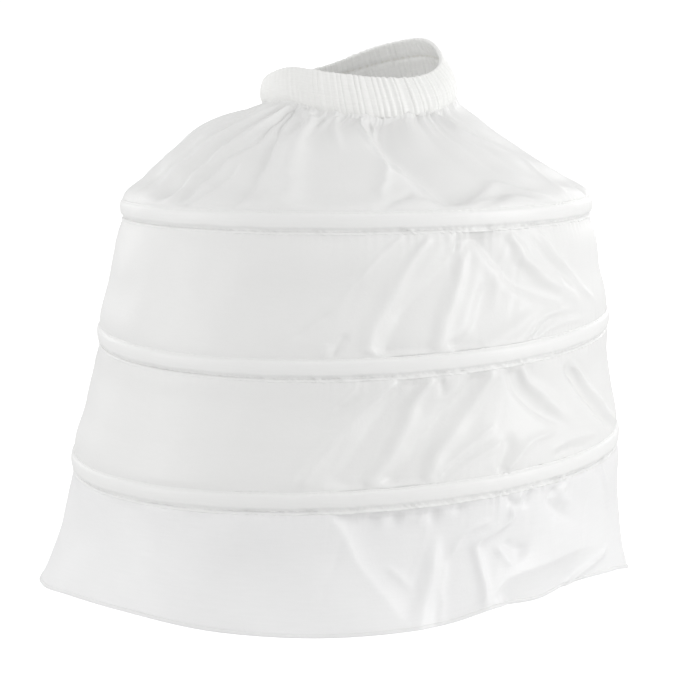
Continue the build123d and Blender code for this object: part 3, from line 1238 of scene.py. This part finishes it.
    def points(self, turns: np.ndarray) -> tuple[np.ndarray, np.ndarray, np.ndarray]:
        """The folded cloth's section carried round the band.

        Up the outer wall, over the fold in a half circle and down the inner wall, each pushed from the middle
        surface along its normal by half the thickness and the ribs. The header's seam draws a groove into the
        inner wall, which is finely crinkled below it.

        Args:
            turns: places round the band.

        Returns:
            Points, normals of the middle surface, and how far along the section each row lies.
        """
        rise = np.linspace(0, 1, self.WALL_ROWS)
        bend = np.linspace(0, math.pi, self.FOLD_ROWS + 2)[1:-1]
        height = np.concatenate([rise, np.ones(self.FOLD_ROWS), rise[::-1]])
        side = np.concatenate([np.ones(self.WALL_ROWS), np.cos(bend), -np.ones(self.WALL_ROWS)])
        over = np.concatenate([np.zeros(self.WALL_ROWS), np.sin(bend), np.zeros(self.WALL_ROWS)])
        middle = self.wall(np.linspace(0, 1, 3), turns)
        normal = outward(middle)[1]
        upward = middle[2] - middle[0]
        upward /= np.linalg.norm(upward, axis=1, keepdims=True)
        push = self.half_thick + self.rib_depth * (self.shirring(height, turns) - self.RIB_LEVEL)
        header = self.HEADER_DEPTH * self.dip(height, self.HEADER_SEAM) * (side < 0)
        fine = puckers(turns, self.RADIUS, 5 * MM, self.SEED + 4)
        crinkle = self.rib_depth * fine[None] * (self.CRINKLE * (side < 0))[:, None]
        crinkle = crinkle * ease((self.HEADER_SEAM - height) / 0.1)[:, None]
        push = push - header[:, None] + crinkle
        points = self.wall(height, turns)
        points = points + normal[None] * (push * side[:, None])[..., None]
        points = points + upward[None] * (0.8 * push * over[:, None])[..., None]
        run = np.concatenate([[0], np.cumsum(np.linalg.norm(np.diff(points[:, 0], axis=0), axis=1))])
        return points, normal, run

    def dress(self) -> None:
        """Builds the band and its stitches."""
        turns = np.linspace(-180, 180, self.STEPS, endpoint=False)
        points, normal, run = self.points(turns)
        faces = grid_faces(len(points), self.STEPS, ring=True)
        looks = np.broadcast_to(normal[None], points.shape)
        faces = facing(faces, (self.WALL_ROWS - 1) * self.STEPS, points, looks)
        flat = flat_grid(np.radians(turns) * self.foot.wide, run)
        piece = build("waistband_shirred", points, faces, flat)
        thicken(piece, self.thickness)
        piece.data.materials.append(self.finish)
        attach(piece, BODY)
        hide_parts("waistband")
        thread, strip = self.stitches(), self.elastic()
        log.info("%s: %d points", piece.name, len(piece.data.vertices))

    def elastic(self) -> bpy.types.Object:
        """Builds the flat elastic between the two walls, as a thin strip along the band's middle surface.

        Returns:
            The strip.
        """
        turns = np.linspace(-180, 180, self.STRIP_STEPS, endpoint=False)
        middle = self.wall(np.array(self.STRIP_HEIGHTS), turns)
        normal = outward(self.wall(np.linspace(0, 1, 3), turns))[1]
        half = self.STRIP_THICKNESS / 2 * normal[None]
        points = np.concatenate([middle + half, (middle - half)[::-1]])
        faces = grid_faces(len(points), len(turns), ring=True, tube=True)
        looks = np.broadcast_to(normal[None], points.shape)
        faces = facing(faces, (len(middle) - 1) * len(turns), points, looks)
        strip = build("waist_elastic_strip", points, faces)
        strip.data.materials.append(self.rubber)
        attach(strip, BODY)
        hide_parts("waist_elastic")
        return strip

    def stitches(self) -> bpy.types.Object:
        """The rows of stitches through the ribs: along the middle, and the header's row inside."""
        row = StitchRow(pitch=3.4 * MM, length=2.6 * MM)
        turns = row.turns(self.RADIUS)
        middle = self.wall(np.linspace(0, 1, 3), turns)
        normal = outward(middle)[1]
        rows = []
        for height, side in ((self.MIDDLE_SEAM, 1.0), (self.HEADER_SEAM, -1.0)):
            up = np.array([height])
            rib = self.shirring(up, turns)[0] - self.RIB_LEVEL
            push = self.half_thick + self.rib_depth * rib + 0.1 * MM
            push = push - 0.9 * MM * (side < 0)
            places = self.wall(up, turns)[0] + normal * (side * push)[:, None]
            rows.append((places, directions(places), normal * side))
        return sew("waistband_stitches", rows, row)


# -------------------------------------------------------------------------------- the hem
@dataclass
class RolledHem:
    """The flounce's rolled hem: a narrow double turning that runs all round its foot, with its stitches."""

    tier: Tier
    height: float = 3.6 * MM
    half_thick: float = 0.75 * MM

    STEPS = 1100
    ROWS = 7
    FLATNESS = 0.5
    OVERHANG = 0.4  # how far the hem's middle lies above the cloth's edge, as a share of its height
    STITCH_LINE = 0.72  # how far the stitches lie above that edge, as a share of its height

    def build(self) -> list[bpy.types.Object]:
        """Builds the hem and its stitches.

        The section is a flattened ring: out = half thickness sign(cos) |cos|^0.5, and down = height (sin / 2
        - 0.4) from the cloth's edge.

        Returns:
            The hem and its thread.
        """
        turn = np.linspace(-180, 180, self.STEPS, endpoint=False)
        share = self.height / self.tier.tall
        points, normals = self.tier.finished(np.array([1 - share, 1 - share / 2, 1.0]), turn)
        edge, normal = points[2], normals[2]
        fall = points[2] - points[0]
        fall /= np.linalg.norm(fall, axis=1, keepdims=True)
        angle = np.linspace(-math.pi / 2, math.pi / 2, self.ROWS)
        front = np.abs(np.cos(angle)) ** self.FLATNESS * self.half_thick
        sunk = self.half_thick - self.tier.thickness / 2
        out = np.concatenate([front, -front[::-1][1:-1] - sunk])
        bowed = np.concatenate([np.sin(angle), np.sin(angle[::-1])[1:-1]])
        down = bowed * self.height / 2 - self.OVERHANG * self.height
        ring = edge[None] + normal[None] * out[:, None, None] + fall[None] * down[:, None, None]
        faces = grid_faces(len(out), self.STEPS, ring=True, tube=True)
        faces = facing(faces, (self.ROWS - 1) * self.STEPS, ring, np.broadcast_to(normal[None], ring.shape))
        run = np.linspace(0, 2 * self.height, len(out))
        flat = flat_grid(np.radians(turn) * self.tier.radius, run)
        hem = build("flounce_hem", ring, faces, flat)
        hem.data.materials.append(self.tier.finish)
        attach(hem, BODY)
        row = StitchRow(pitch=2.8 * MM, length=2.1 * MM, radius=0.18 * MM, slant=0.0)
        above = fall * self.STITCH_LINE * self.height
        places = turn_by_length(edge + normal * (self.half_thick + 0.05 * MM) - above, row.pitch)
        where, looks = places(edge + normal * self.half_thick - above), places(normal)
        return [hem, sew("flounce_hem_stitches", [(where, directions(where), looks)], row)]


def turn_by_length(line: np.ndarray, pitch: float) -> Callable[[np.ndarray], np.ndarray]:
    """Makes a reader that picks even steps of length along a closed line.

    Args:
        line: the line's points.
        pitch: the step.

    Returns:
        A function that takes one row for each of the line's points and returns one row for each step.
    """
    closed = np.concatenate([line, line[:1]])
    length = np.concatenate([[0], np.cumsum(np.linalg.norm(np.diff(closed, axis=0), axis=1))])
    at = np.linspace(0, length[-1], round(length[-1] / pitch), endpoint=False)

    def read(rows: np.ndarray) -> np.ndarray:
        """The rows at each step, carried straight between the line's points."""
        joined = np.concatenate([rows, rows[:1]])
        return np.stack([np.interp(at, length, column) for column in joined.T], axis=1)

    return read


# -------------------------------------------------------------------------------- the petticoat
class Petticoat:
    """The whole petticoat, built round its three hoops."""

    OVER = 9 * MM  # how far above its hoop a tier goes in under the casing
    BELOW = 11.6 * MM  # how far below its hoop the next tier comes out from under the lip
    LIP_OUT = 1.5 * MM
    BEHIND_HOOP = 2.7 * MM
    # Small tucks below the lowest casing: where each lies, how deep it is in millimetres, and where it ends.
    TUCKS = ((4.5, 1.3, 0.1), (9, 2.2, 0.2), (13.6, 1.4, 0.1), (16.5, 2.2, 0.22), (21.5, 1.9, 0.13))
    BACK = (92, 268)  # the turns between which the cloth is not seen from the front

    def __init__(self) -> None:
        """Reads the hoops' lines from the frame: the cloth lies that far inside each one."""
        self.hoops = {
            level: Round.along(f"hoop_{level}").moved(out=-self.BEHIND_HOOP)
            for level in ("top", "middle", "bottom")
        }
        self.satin = SKIRT_SATIN.material()
        self.waistband = Waistband(BAND_SATIN_WITH_PAINTED_SHADE.material(), ELASTIC.material())

    def between(
        self, upper: str, lower: str, fullness: tuple[tuple[float, float], ...]
    ) -> tuple[tuple[float, Round], ...]:
        """The lines of a tier between two hoops.

        Args:
            upper: the hoop above.
            lower: the hoop below.
            fullness: how many millimetres the cloth stands out from the straight cone, at chosen shares.

        Returns:
            The lines, each with its share.
        """
        start, end = self.hoops[upper], self.hoops[lower]
        first, last = start.moved(out=self.LIP_OUT, up=-self.BELOW), end.moved(out=0.5 * MM, up=self.OVER)
        full = [(share, first.towards(last, share).moved(out=out * MM)) for share, out in fullness]
        return (-0.03, start.moved(out=0.9 * MM, up=-8.5 * MM)), (0.0, first), *full, (1.0, last), (1.09, end)

    def yoke(self) -> Tier:
        """The gathered yoke, whose folds fan out from the waistband."""
        top = self.hoops["top"]
        foot = self.waistband.foot
        wide, deep = foot.wide, foot.deep
        lines = (
            (-0.04, Round(0.5 * MM, -14 * MM, wide - 1 * MM, deep - 1 * MM, 5 * MM, 9 * MM, 7 * MM)),
            (0.0, Round(0.5 * MM, -19 * MM, wide + 1.5 * MM, deep + 2 * MM, 5 * MM, 9 * MM, 7 * MM)),
            (0.05, Round(-2.5 * MM, -22.5 * MM, wide + 6 * MM, deep + 8 * MM, 4 * MM, 8 * MM, 6 * MM)),
            (0.28, Round(-14 * MM, -39 * MM, 139 * MM, 127 * MM, 2 * MM, 5 * MM, 3 * MM)),
            (0.6, Round(-11 * MM, -71 * MM, 186 * MM, 181 * MM, 1 * MM)),
            (0.8, Round(-6 * MM, -88 * MM, 209 * MM, 206 * MM, 1 * MM, -2 * MM)),
            (1.0, top.moved(out=0.5 * MM, up=self.OVER)),
            (1.06, top),
        )
        thin, crease = Crest.SHARP, (0.5, 1.0)
        folds = (
            Fold(
                ((-50, -0.02), (-56, 0.25), (-61, 0.5), (-66, 0.72), (-70, 0.98)),
                -2.4, 4.5, thin, (0.05, 0.2), crease,
            ),
            Fold(
                ((-47.5, -0.02), (-50, 0.25), (-54, 0.5), (-58, 0.72), (-62, 0.98)),
                2.4, 8, Crest.SOFT, (0.05, 0.2), crease,
            ),
            Fold(
                ((-45, -0.02), (-45, 0.2), (-47.5, 0.45), (-51, 0.7), (-53.5, 1.0)),
                -3.0, 4.5, thin, (0.05, 0.1), crease,
            ),
            Fold(
                ((-43, -0.02), (-39.5, 0.25), (-43, 0.47), (-47, 0.72), (-49.5, 1.0)),
                2.6, 7, Crest.SOFT, (0.05, 0.1), crease,
            ),
            Fold(
                ((-41, -0.02), (-33, 0.3), (-38.5, 0.46), (-43.5, 0.72), (-45.5, 1.0)),
                -2.8, 4.5, thin, (0.1, 0.1), crease,
            ),
            Fold(((-32, 0.5), (-36, 0.7), (-40, 0.88), (-43, 1.0)), -2.4, 4.5, thin, (0.3, 0.1), crease),
            Fold(
                ((-40.5, -0.02), (-27, 0.3), (-25.5, 0.6), (-27, 0.83), (-29.5, 1.0)),
                -2.8, 5, thin, (0.05, 0.08), crease,
            ),
            Fold(
                ((-38, -0.02), (-22, 0.11), (-17.5, 0.3), (-17.5, 0.5), (-17, 0.72), (-17, 1.0)),
                4.6, 12, Crest.SOFT, (0.05, 0.1), (0.3, 1.0),
            ),
            Fold(((-60, -0.02), (-72, 0.3), (-84, 0.7)), -2.0, 6, thin, (0.05, 0.4), crease),
            Fold(((-12, 0.0), (-9, 0.12), (-3, 0.29), (-1, 0.45)), 1.8, 5, Crest.SOFT, (0.1, 0.5)),
            Fold(((-19, 0.0), (-15, 0.25), (-13, 0.5)), -1.6, 5, thin, (0.1, 0.6)),
            Fold(((-5, 0.0), (-1, 0.14)), 1.6, 4, thin, (0.1, 0.5)),
            Fold(
                ((0, 0.0), (3, 0.11), (10, 0.28), (12, 0.47), (11, 0.57), (7, 0.79), (5, 0.94)),
                3.6, 4.5, thin, (0.05, 0.2), crease,
            ),
            Fold(
                (
                    (2, -0.25), (6, -0.02), (11, 0.15), (14, 0.37), (17, 0.55), (19, 0.69), (21, 0.84),
                    (23, 1.0),
                ),
                -10, 44, Crest.STEP, (0.4, 0.1), (0.4, 1.0),
            ),
            Fold(
                (
                    (5.4, -0.05), (10.4, 0.15), (13.4, 0.37), (16.4, 0.55), (18.4, 0.69), (20.4, 0.84),
                    (22.4, 1.0),
                ),
                3.0, 5, thin, (0.03, 0.1), crease,
            ),
            Fold(((16, 0.77), (9, 0.9), (4.5, 1.0)), -2.6, 5, thin, (0.3, 0.1), crease),
            Swell(14, 0.93, 2.2, 13, 9),
            Fold(
                ((43, -0.02), (51, 0.13), (54, 0.29), (62, 0.43), (68, 0.56)),
                4.2, 6, thin, (0.03, 0.4), crease,
            ),
            Fold(((46, -0.02), (57, 0.15), (64, 0.3), (76, 0.5)), -2.6, 5, thin, (0.03, 0.4), crease),
            Fold(((68, 0.5), (66, 0.65), (62, 0.8), (61, 0.96)), 1.6, 6, thin, (0.4, 0.2)),
            Fold(
                ((23, 0.84), (26, 0.91), (31, 0.86), (39, 0.76), (43, 0.8), (48, 0.89), (54, 0.95)),
                2.6, 5, thin, (0.15, 0.2),
            ),
            Fold(((26, 1.0), (33, 0.94), (40, 0.85), (47, 0.97)), -2.2, 6, Crest.SOFT, (0.15, 0.2)),
            Fold(((75, 0.86), (73, 1.0)), -3.0, 5, thin, (0.2, 0.1)),
            Swell(-55, 0.45, 3, 60, 50),
            *scattered(21, self.BACK, 17, 8, 3.4, 8),
        )
        plain = lines[1][1]
        knots = self.waistband.foot_height.knots
        rise = Wave(tuple((turn, height - float(plain.at(np.array(turn))[..., 2])) for turn, height in knots))
        return Tier(
            "yoke", "skirt_satin", self.satin, lines, folds, (0.74, 0.20), seed=11, cut_share=0.72,
            top_rise=rise,
            gathers=0.9 * MM, pucker=Wave.lengths((0, 0.25), (180, 0.25)), slack=0.8 * MM,
            rests_on=("waistband_shirred", "casing_top_tape"),
        )

    def upper_tier(self) -> Tier:
        """The tier between the top and middle hoops: smooth on its left, in slanting folds on its right."""
        soft, thin, step = Crest.SOFT, Crest.SHARP, Crest.STEP
        folds = (
            Fold(((10, 0.0), (3, 0.23), (-2, 0.47), (-4, 0.62)), 2.4, 4.5, thin, (0.03, 0.6), (0.5, 1.8)),
            Fold(
                ((16, 0.0), (10, 0.32), (7, 0.52), (4, 0.73), (2.5, 1.0)),
                2.6, 8, soft, (0.06, 0.06), (0.5, 0.8),
            ),
            Fold(
                (
                    (30, -0.15), (26, 0.0), (22, 0.16), (16, 0.4), (12, 0.56), (9, 0.71), (7, 0.9),
                    (5.5, 1.0),
                ),
                -6.4, 38, step, (0.2, 0.06), (0.6, 1.0),
            ),
            Fold(((25, 0.1), (22, 0.43), (19, 0.7), (16.5, 1.0)), 2.6, 8, soft, (0.15, 0.06), (0.6, 0.9)),
            Fold(
                ((29, 0.2), (29, 0.5), (27.5, 0.68), (24.5, 0.86), (20, 1.0)),
                -6.2, 36, step, (0.3, 0.06), (1.0, 0.8),
            ),
            Fold(((43, 0.7), (34, 0.9), (27, 1.02)), 2.2, 9, soft, (0.3, 0.1)),
            Fold(
                ((23, -0.3), (27, 0.0), (32, 0.26), (36, 0.43), (43, 0.59), (54, 0.76)),
                -5.4, 28, step, (0.1, 0.25), (0.8, 1.0),
            ),
            Fold(
                ((36, 0.0), (40, 0.25), (46, 0.45), (53, 0.63), (60, 0.84)),
                3.0, 8, soft, (0.05, 0.25), (0.7, 1.0),
            ),
            Fold(((44, 0.0), (52, 0.33), (59, 0.6), (68, 0.87)), 2.0, 4.5, thin, (0.05, 0.2)),
            Fold(((41, 0.02), (49, 0.35), (57, 0.65)), -1.6, 4, thin, (0.1, 0.3)),
            Fold(((38, 1.0), (40, 0.91), (42, 0.83), (48, 0.78), (57, 0.82)), 2.2, 4, thin, (0.05, 0.3)),
            Fold(((39.5, 1.0), (42, 0.92), (46, 0.85), (60, 0.88)), -2.0, 4, thin, (0.05, 0.3)),
            Fold(((41, 1.0), (44, 0.93), (50, 0.9), (64, 0.95)), 1.8, 3.5, thin, (0.05, 0.3)),
            Fold(((-13, 0.86), (-10, 0.76), (-7, 0.66), (-4, 0.62)), -2.0, 5, thin, (0.3, 0.3)),
            Fold(((-4.5, 1.0), (-3, 0.88), (-1, 0.78)), -2.4, 4.5, thin, (0.05, 0.3)),
            Fold(((-6.5, 1.0), (-5, 0.86)), 1.6, 4, thin, (0.05, 0.4)),
            Fold(((20, 0.0), (21, 0.16)), 1.8, 3.5, thin, (0.05, 0.4)),
            Fold(((22.5, 0.02), (22, 0.15)), -2.2, 3.5, thin, (0.05, 0.4)),
            Fold(((25, 0.0), (22, 0.22)), 1.8, 3.5, thin, (0.05, 0.4)),
            Swell(-45, 0.5, 1.5, 90, 50),
            *scattered(33, (-10, 80), 9, 9, 0.7, 4),
            *scattered(31, self.BACK, 14, 13, 3.2, 9),
        )
        pucker = Wave.lengths((-60, 0.1), (0, 0.25), (30, 0.45), (75, 0.3), (150, 0.4), (220, 0.3))
        lines = self.between("top", "middle", ((0.12, 1.5), (0.5, 0.5)))
        return Tier(
            "upper_tier", "skirt_satin", self.satin, lines, folds, (0.80, 0.13), seed=12, pucker=pucker,
            rests_on=("casing_top_tape", "casing_middle_tape"),
        )

    def lower_tier(self) -> Tier:
        """The tier between the middle and bottom hoops, with slanting folds across its middle and right."""
        soft, thin, step = Crest.SOFT, Crest.SHARP, Crest.STEP
        folds = (
            Fold(((1, 0.0), (-3, 0.2), (-6, 0.42)), 2.0, 4.5, thin, (0.04, 0.6), (0.5, 1.8)),
            Fold(
                ((8.5, 0.0), (4, 0.18), (0, 0.37), (-5, 0.68), (-9, 1.0)),
                3.2, 8, soft, (0.05, 0.1), (0.5, 0.9),
            ),
            Fold(
                ((15, -0.3), (10.5, 0.0), (8, 0.15), (5, 0.38), (1, 0.69), (-4, 1.0)),
                -3.8, 28, step, (0.1, 0.08), (0.7, 1.0),
            ),
            Fold(
                ((16, 0.0), (13, 0.19), (11, 0.4), (8, 0.71), (3.5, 1.0)),
                3.2, 8, soft, (0.05, 0.06), (0.5, 0.8),
            ),
            Fold(
                ((29, -0.3), (25, 0.0), (22, 0.23), (17, 0.43), (12, 0.73), (7, 1.0)),
                -6.0, 26, step, (0.1, 0.06), (0.8, 1.0),
            ),
            Fold(
                ((30, 0.0), (26, 0.26), (22, 0.46), (17.5, 0.75), (15, 1.0)),
                2.8, 8, soft, (0.05, 0.06), (0.7, 0.8),
            ),
            Fold(((17.5, 0.02), (18.5, 0.22)), -2.6, 4.5, thin, (0.05, 0.4)),
            Fold(((30, 0.5), (28, 0.58), (22, 0.74), (17, 0.94)), 2.0, 4, thin, (0.3, 0.1)),
            Fold(((30, 0.62), (23, 0.8), (18, 0.95)), -1.6, 4, thin, (0.3, 0.1)),
            Fold(((32, 0.66), (30, 0.73), (24, 0.84), (18, 0.99)), 1.8, 4, thin, (0.3, 0.1)),
            Fold(
                ((31, -0.25), (33, 0.0), (35, 0.21), (39, 0.39), (43, 0.55), (49, 0.68)),
                -5.2, 20, step, (0.1, 0.25), (0.8, 1.0),
            ),
            Fold(
                ((36.5, 0.0), (39, 0.19), (43, 0.34), (48, 0.55), (54, 0.76)),
                2.8, 7, soft, (0.05, 0.3), (0.5, 0.9),
            ),
            Fold(((49, 0.08), (56, 0.42), (62, 0.67), (72, 0.98)), -4.0, 16, step, (0.1, 0.15), (0.6, 1.0)),
            Fold(((52, 0.08), (60, 0.41), (68, 0.7), (76, 0.98)), 3.2, 6, soft, (0.1, 0.15), (0.5, 0.9)),
            Fold(((33.5, 0.6), (32, 0.81), (30, 1.0)), -3.4, 8, soft, (0.35, 0.06), (1.0, 0.5)),
            Fold(((47, 0.72), (39, 0.74), (35, 0.86), (32, 1.0)), 2.6, 4.5, thin, (0.2, 0.06)),
            Fold(((62, 0.9), (50, 0.84), (43, 0.9)), 1.8, 4, thin, (0.2, 0.3)),
            Fold(((58, 0.97), (48, 0.93), (43, 0.99)), -1.8, 4, thin, (0.2, 0.3)),
            Swell(-45, 0.5, 1.5, 90, 50),
            *scattered(43, (-10, 80), 10, 9, 0.7, 4),
            *scattered(41, self.BACK, 14, 13, 3.2, 9),
        )
        pucker = Wave.lengths((-60, 0.1), (-10, 0.3), (20, 0.5), (75, 0.3), (150, 0.4), (220, 0.3))
        lines = self.between("middle", "bottom", ((0.25, -2.5), (0.6, -1.0)))
        return Tier(
            "lower_tier", "skirt_satin", self.satin, lines, folds, (0.88, 0.135), seed=13, pucker=pucker,
            rests_on=("casing_middle_tape", "casing_bottom_tape"),
        )

    def flounce(self) -> Tier:
        """The loose sheer flounce, which flares to the left and is folded and crumpled on its right."""
        start = self.hoops["bottom"]
        lines = (
            (-0.03, start.moved(out=0.9 * MM, up=-8.5 * MM)),
            (0.0, start.moved(out=self.LIP_OUT, up=-self.BELOW)),
            (0.46, Round(-18 * MM, -413 * MM, 281 * MM, 280 * MM, 12 * MM)),
            (1.0, Round(-22.5 * MM, -470 * MM, 300 * MM, 300 * MM, 8 * MM)),
        )
        soft, thin = Crest.SOFT, Crest.SHARP
        folds = (
            Fold(
                ((-3.5, -0.04), (1, 0.27), (4, 0.49), (8, 0.71), (11, 0.89), (13.5, 1.06)),
                -7.5, 38, Crest.BEND, (0.05, 0.0), (0.6, 1.0),
            ),
            Fold(((8, 0.45), (14, 0.7)), 1.8, 4, thin, (0.3, 0.3)),
            Fold(((18, 0.2), (17, 0.54), (15, 0.91), (14.5, 1.05)), 4.0, 10, soft, (0.3, 0.0), (0.6, 1.0)),
            Fold(((20.5, 0.4), (19, 0.71), (19, 1.02)), 1.2, 4, thin, (0.3, 0.1)),
            Fold(((29.5, 0.2), (24, 0.26), (21.5, 0.38), (21, 0.52)), 2.2, 4.5, thin, (0.1, 0.4)),
            Fold(
                ((33.5, 0.06), (33, 0.22), (29, 0.31), (26, 0.38), (26, 0.5), (27, 0.67), (27.5, 1.02)),
                3.8, 4.5, thin, (0.08, 0.06),
            ),
            Fold(((32, -0.02), (34, 0.17)), -3.8, 4, thin, (0.04, 0.4)),
            Fold(((38, -0.02), (35.5, 0.17)), -3.8, 4, thin, (0.04, 0.4)),
            Fold(((35, -0.02), (35, 0.12)), 2.4, 4, thin, (0.04, 0.5)),
            Fold(((29.5, 0.42), (34.5, 0.68)), 2.4, 5, thin, (0.3, 0.3)),
            Fold(((31.5, 0.4), (37, 0.62)), -2.2, 8, soft, (0.3, 0.3)),
            Swell(36, 0.5, -3, 9, 9),
            Fold(
                ((68, 0.79), (56, 0.72), (48, 0.705), (41, 0.715), (36, 0.74), (32, 0.79), (28.5, 0.93)),
                -19, 80, Crest.BEND, (0.35, 0.12), (1.0, 0.7),
            ),
            Fold(((49, 1.02), (57, 0.89), (66, 0.77)), 3.8, 4, thin, (0.03, 0.3)),
            Fold(((45, 0.03), (43, 0.15), (47, 0.3), (53, 0.44)), -3.4, 6, thin, (0.1, 0.4)),
            Fold(((48, 0.02), (47, 0.14), (51, 0.26)), 2.4, 6, soft, (0.1, 0.4)),
            Fold(((62, 0.0), (66, 0.3), (68, 0.55)), 2.4, 8, soft, (0.06, 0.4), (0.4, 1.0)),
            *(
                Fold(((at, -0.01), (at + 1, end)), -rise, 6, soft, (0.04, 0.6))
                for at, rise, end in self.TUCKS
            ),
            *(
                Fold(((at - 2, -0.01), (at - 2.4, end)), 0.6 * rise, 4, thin, (0.04, 0.6))
                for at, rise, end in self.TUCKS
            ),
            *scattered(53, (-5, 80), 10, 5, 0.8, 4),
            *scattered(51, self.BACK, 13, 7, 6.0, 14),
        )
        foot_rise = Wave.lengths(
            (-90, -20), (-75, -11), (-58, 3), (-42, 7), (-20, 2), (8, 1), (20, 4), (30, 11), (42, 7),
            (52, 10), (66, 1), (86, -21), (110, -4), (150, 3), (195, -2), (235, 4),
        )
        foot_out = Wave.lengths(
            (-90, 3), (-40, 0), (0, 0), (30, -2), (60, -6), (88, -2), (130, 4), (180, -3), (230, 3),
        )
        pucker = Wave.lengths((-60, 0.15), (0, 0.35), (20, 0.6), (75, 0.4), (150, 0.5), (220, 0.4))
        return Tier(
            "flounce", "hem_organza", ORGANZA.material(), lines, folds, (0.98, 0.135), seed=14,
            foot_rise=foot_rise, foot_out=foot_out, pucker=pucker, slack=1.0 * MM, thickness=0.4 * MM,
            held="hung", fixed_foot=False,
            rests_on=("casing_bottom_tape",),
        )

    def dress(self) -> None:
        """Builds every visible piece, from the waist down."""
        self.waistband.dress()
        tape = CASING_TAPE.material()
        tiers = self.yoke(), self.upper_tier(), self.lower_tier(), self.flounce()
        for level, below in zip(self.hoops, tiers[1:]):
            Casing(level, self.hoops[level], below.seed, tape, below.pucker).dress()
        for tier in tiers[:-1]:
            tier.dress()
        tiers[-1].dress(RolledHem(tiers[-1]).build())
        self.finish_hidden_pieces()

    def finish_hidden_pieces(self) -> None:
        """Gives the CAD pieces that stay, inside the casings, their own finishes."""
        finishes = {"hoop_": STRIP.material(), "joiner_": SLEEVE.material()}
        for name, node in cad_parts.items():
            for start, material in finishes.items():
                if name.startswith(start):
                    node.data.materials.clear()
                    node.data.materials.append(material)


# -------------------------------------------------------------------------------- studio
@dataclass(frozen=True)
class Softbox:
    """A square soft light that looks at the petticoat's middle."""

    name: str
    place: tuple[float, float, float]
    side: float
    watts: float

    def hang(self, aim: tuple[float, float, float]) -> None:
        """Makes the light and turns it towards a place."""
        data = bpy.data.lights.new(self.name, "AREA")
        data.size = self.side
        data.energy = self.watts
        lamp = bpy.data.objects.new(self.name, data)
        lamp.location = self.place
        lamp.rotation_euler = (Vector(aim) - Vector(self.place)).to_track_quat("-Z", "Y").to_euler()
        bpy.context.scene.collection.objects.link(lamp)


@dataclass(frozen=True)
class Studio:
    """A white studio: a pale floor, soft lights and the camera in front of the petticoat and a little above
    it.

    eye, pitch and lens: the camera's place, the degrees it looks down, and its focal length in millimetres.
    aim: what the lights look at. surround: how bright the white round the petticoat is to the cloth. white:
    how bright it is to the camera. paper_glow: how bright the floor is by itself.
    """

    eye: tuple[float, float, float] = (-0.0189, -1.9, 0.0619)
    pitch: float = 9.47
    lens: float = 100.6
    aim: tuple[float, float, float] = (0.0, 0.0, -0.22)
    floor_size: float = 60.0
    surround: float = 0.77
    white: float = 1.05
    paper_glow: float = 0.95
    lights: tuple[Softbox, ...] = (
        Softbox("right", (2.6, -0.9, 0.3), 1.2, 21.0),
        Softbox("left", (-2.6, -0.5, 0.1), 1.2, 9.8),
        Softbox("front", (0.1, -2.0, 1.9), 1.2, 6.2),
        Softbox("back_right", (1.6, 2.1, 0.5), 1.2, 8.0),
        Softbox("back_left", (-2.0, 1.7, 0.4), 1.2, 6.0),
    )

    def camera(self) -> None:
        """Places the camera."""
        data = bpy.data.cameras.new("camera")
        data.lens = self.lens
        data.sensor_width = 36.0
        data.clip_end = 200.0
        camera = bpy.data.objects.new("camera", data)
        camera.location = self.eye
        camera.rotation_euler = (math.radians(90.0 - self.pitch), 0.0, 0.0)
        bpy.context.scene.collection.objects.link(camera)
        bpy.context.scene.camera = camera

    def world(self) -> None:
        """An even white surround, which the camera sees as pure white and the cloth as softer light."""
        world = bpy.data.worlds.new("studio")
        world.use_nodes = True
        tree = world.node_tree
        tree.nodes.clear()
        seen = add(tree, "LightPath").outputs["Is Camera Ray"]
        soft = add(tree, "Background", {"Color": (1, 1, 1, 1), "Strength": self.surround})
        white = add(tree, "Background", {"Color": (1, 1, 1, 1), "Strength": self.white})
        mixed = add(tree, "MixShader", {0: seen, 1: soft.outputs[0], 2: white.outputs[0]})
        add(tree, "OutputWorld", {"Surface": mixed.outputs[0]})
        bpy.context.scene.world = world

    def floor(self, height: float) -> None:
        """Lays a white floor, which throws no light on the cloth.

        Args:
            height: where it lies: the hem's lowest point.
        """
        half = self.floor_size / 2
        corners = np.array([[x * half, y * half, height] for x, y in ((-1, -1), (1, -1), (1, 1), (-1, 1))])
        floor = build("floor", corners, np.array([[0, 1, 2, 3]]))
        material = bpy.data.materials.new("white studio paper")
        material.use_nodes = True
        tree = material.node_tree
        tree.nodes.clear()
        paper = add(
            tree,
            "BsdfPrincipled",
            {
                "Base Color": linear("#f8f8f8"),
                "Roughness": 0.9,
                "Emission Color": (1, 1, 1, 1),
                "Emission Strength": self.paper_glow,
            },
        )
        add(tree, "OutputMaterial", {"Surface": paper.outputs[0]})
        floor.data.materials.append(material)
        floor.visible_diffuse = False
        floor.visible_glossy = False
        floor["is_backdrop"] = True

    def build(self) -> None:
        """Sets the colour handling and hangs the lights."""
        bpy.context.scene.view_settings.view_transform = "Standard"
        self.camera()
        self.world()
        for light in self.lights:
            light.hang(self.aim)


def main() -> None:
    """Builds the studio, the petticoat and the floor, which lies at the petticoat's lowest point."""
    logging.basicConfig(level=logging.INFO, format="%(name)s %(message)s")
    studio = Studio()
    studio.build()
    Petticoat().dress()
    bpy.context.view_layer.update()
    look_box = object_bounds()
    studio.floor(look_box[0][2])


if __name__ == "__main__":
    main()
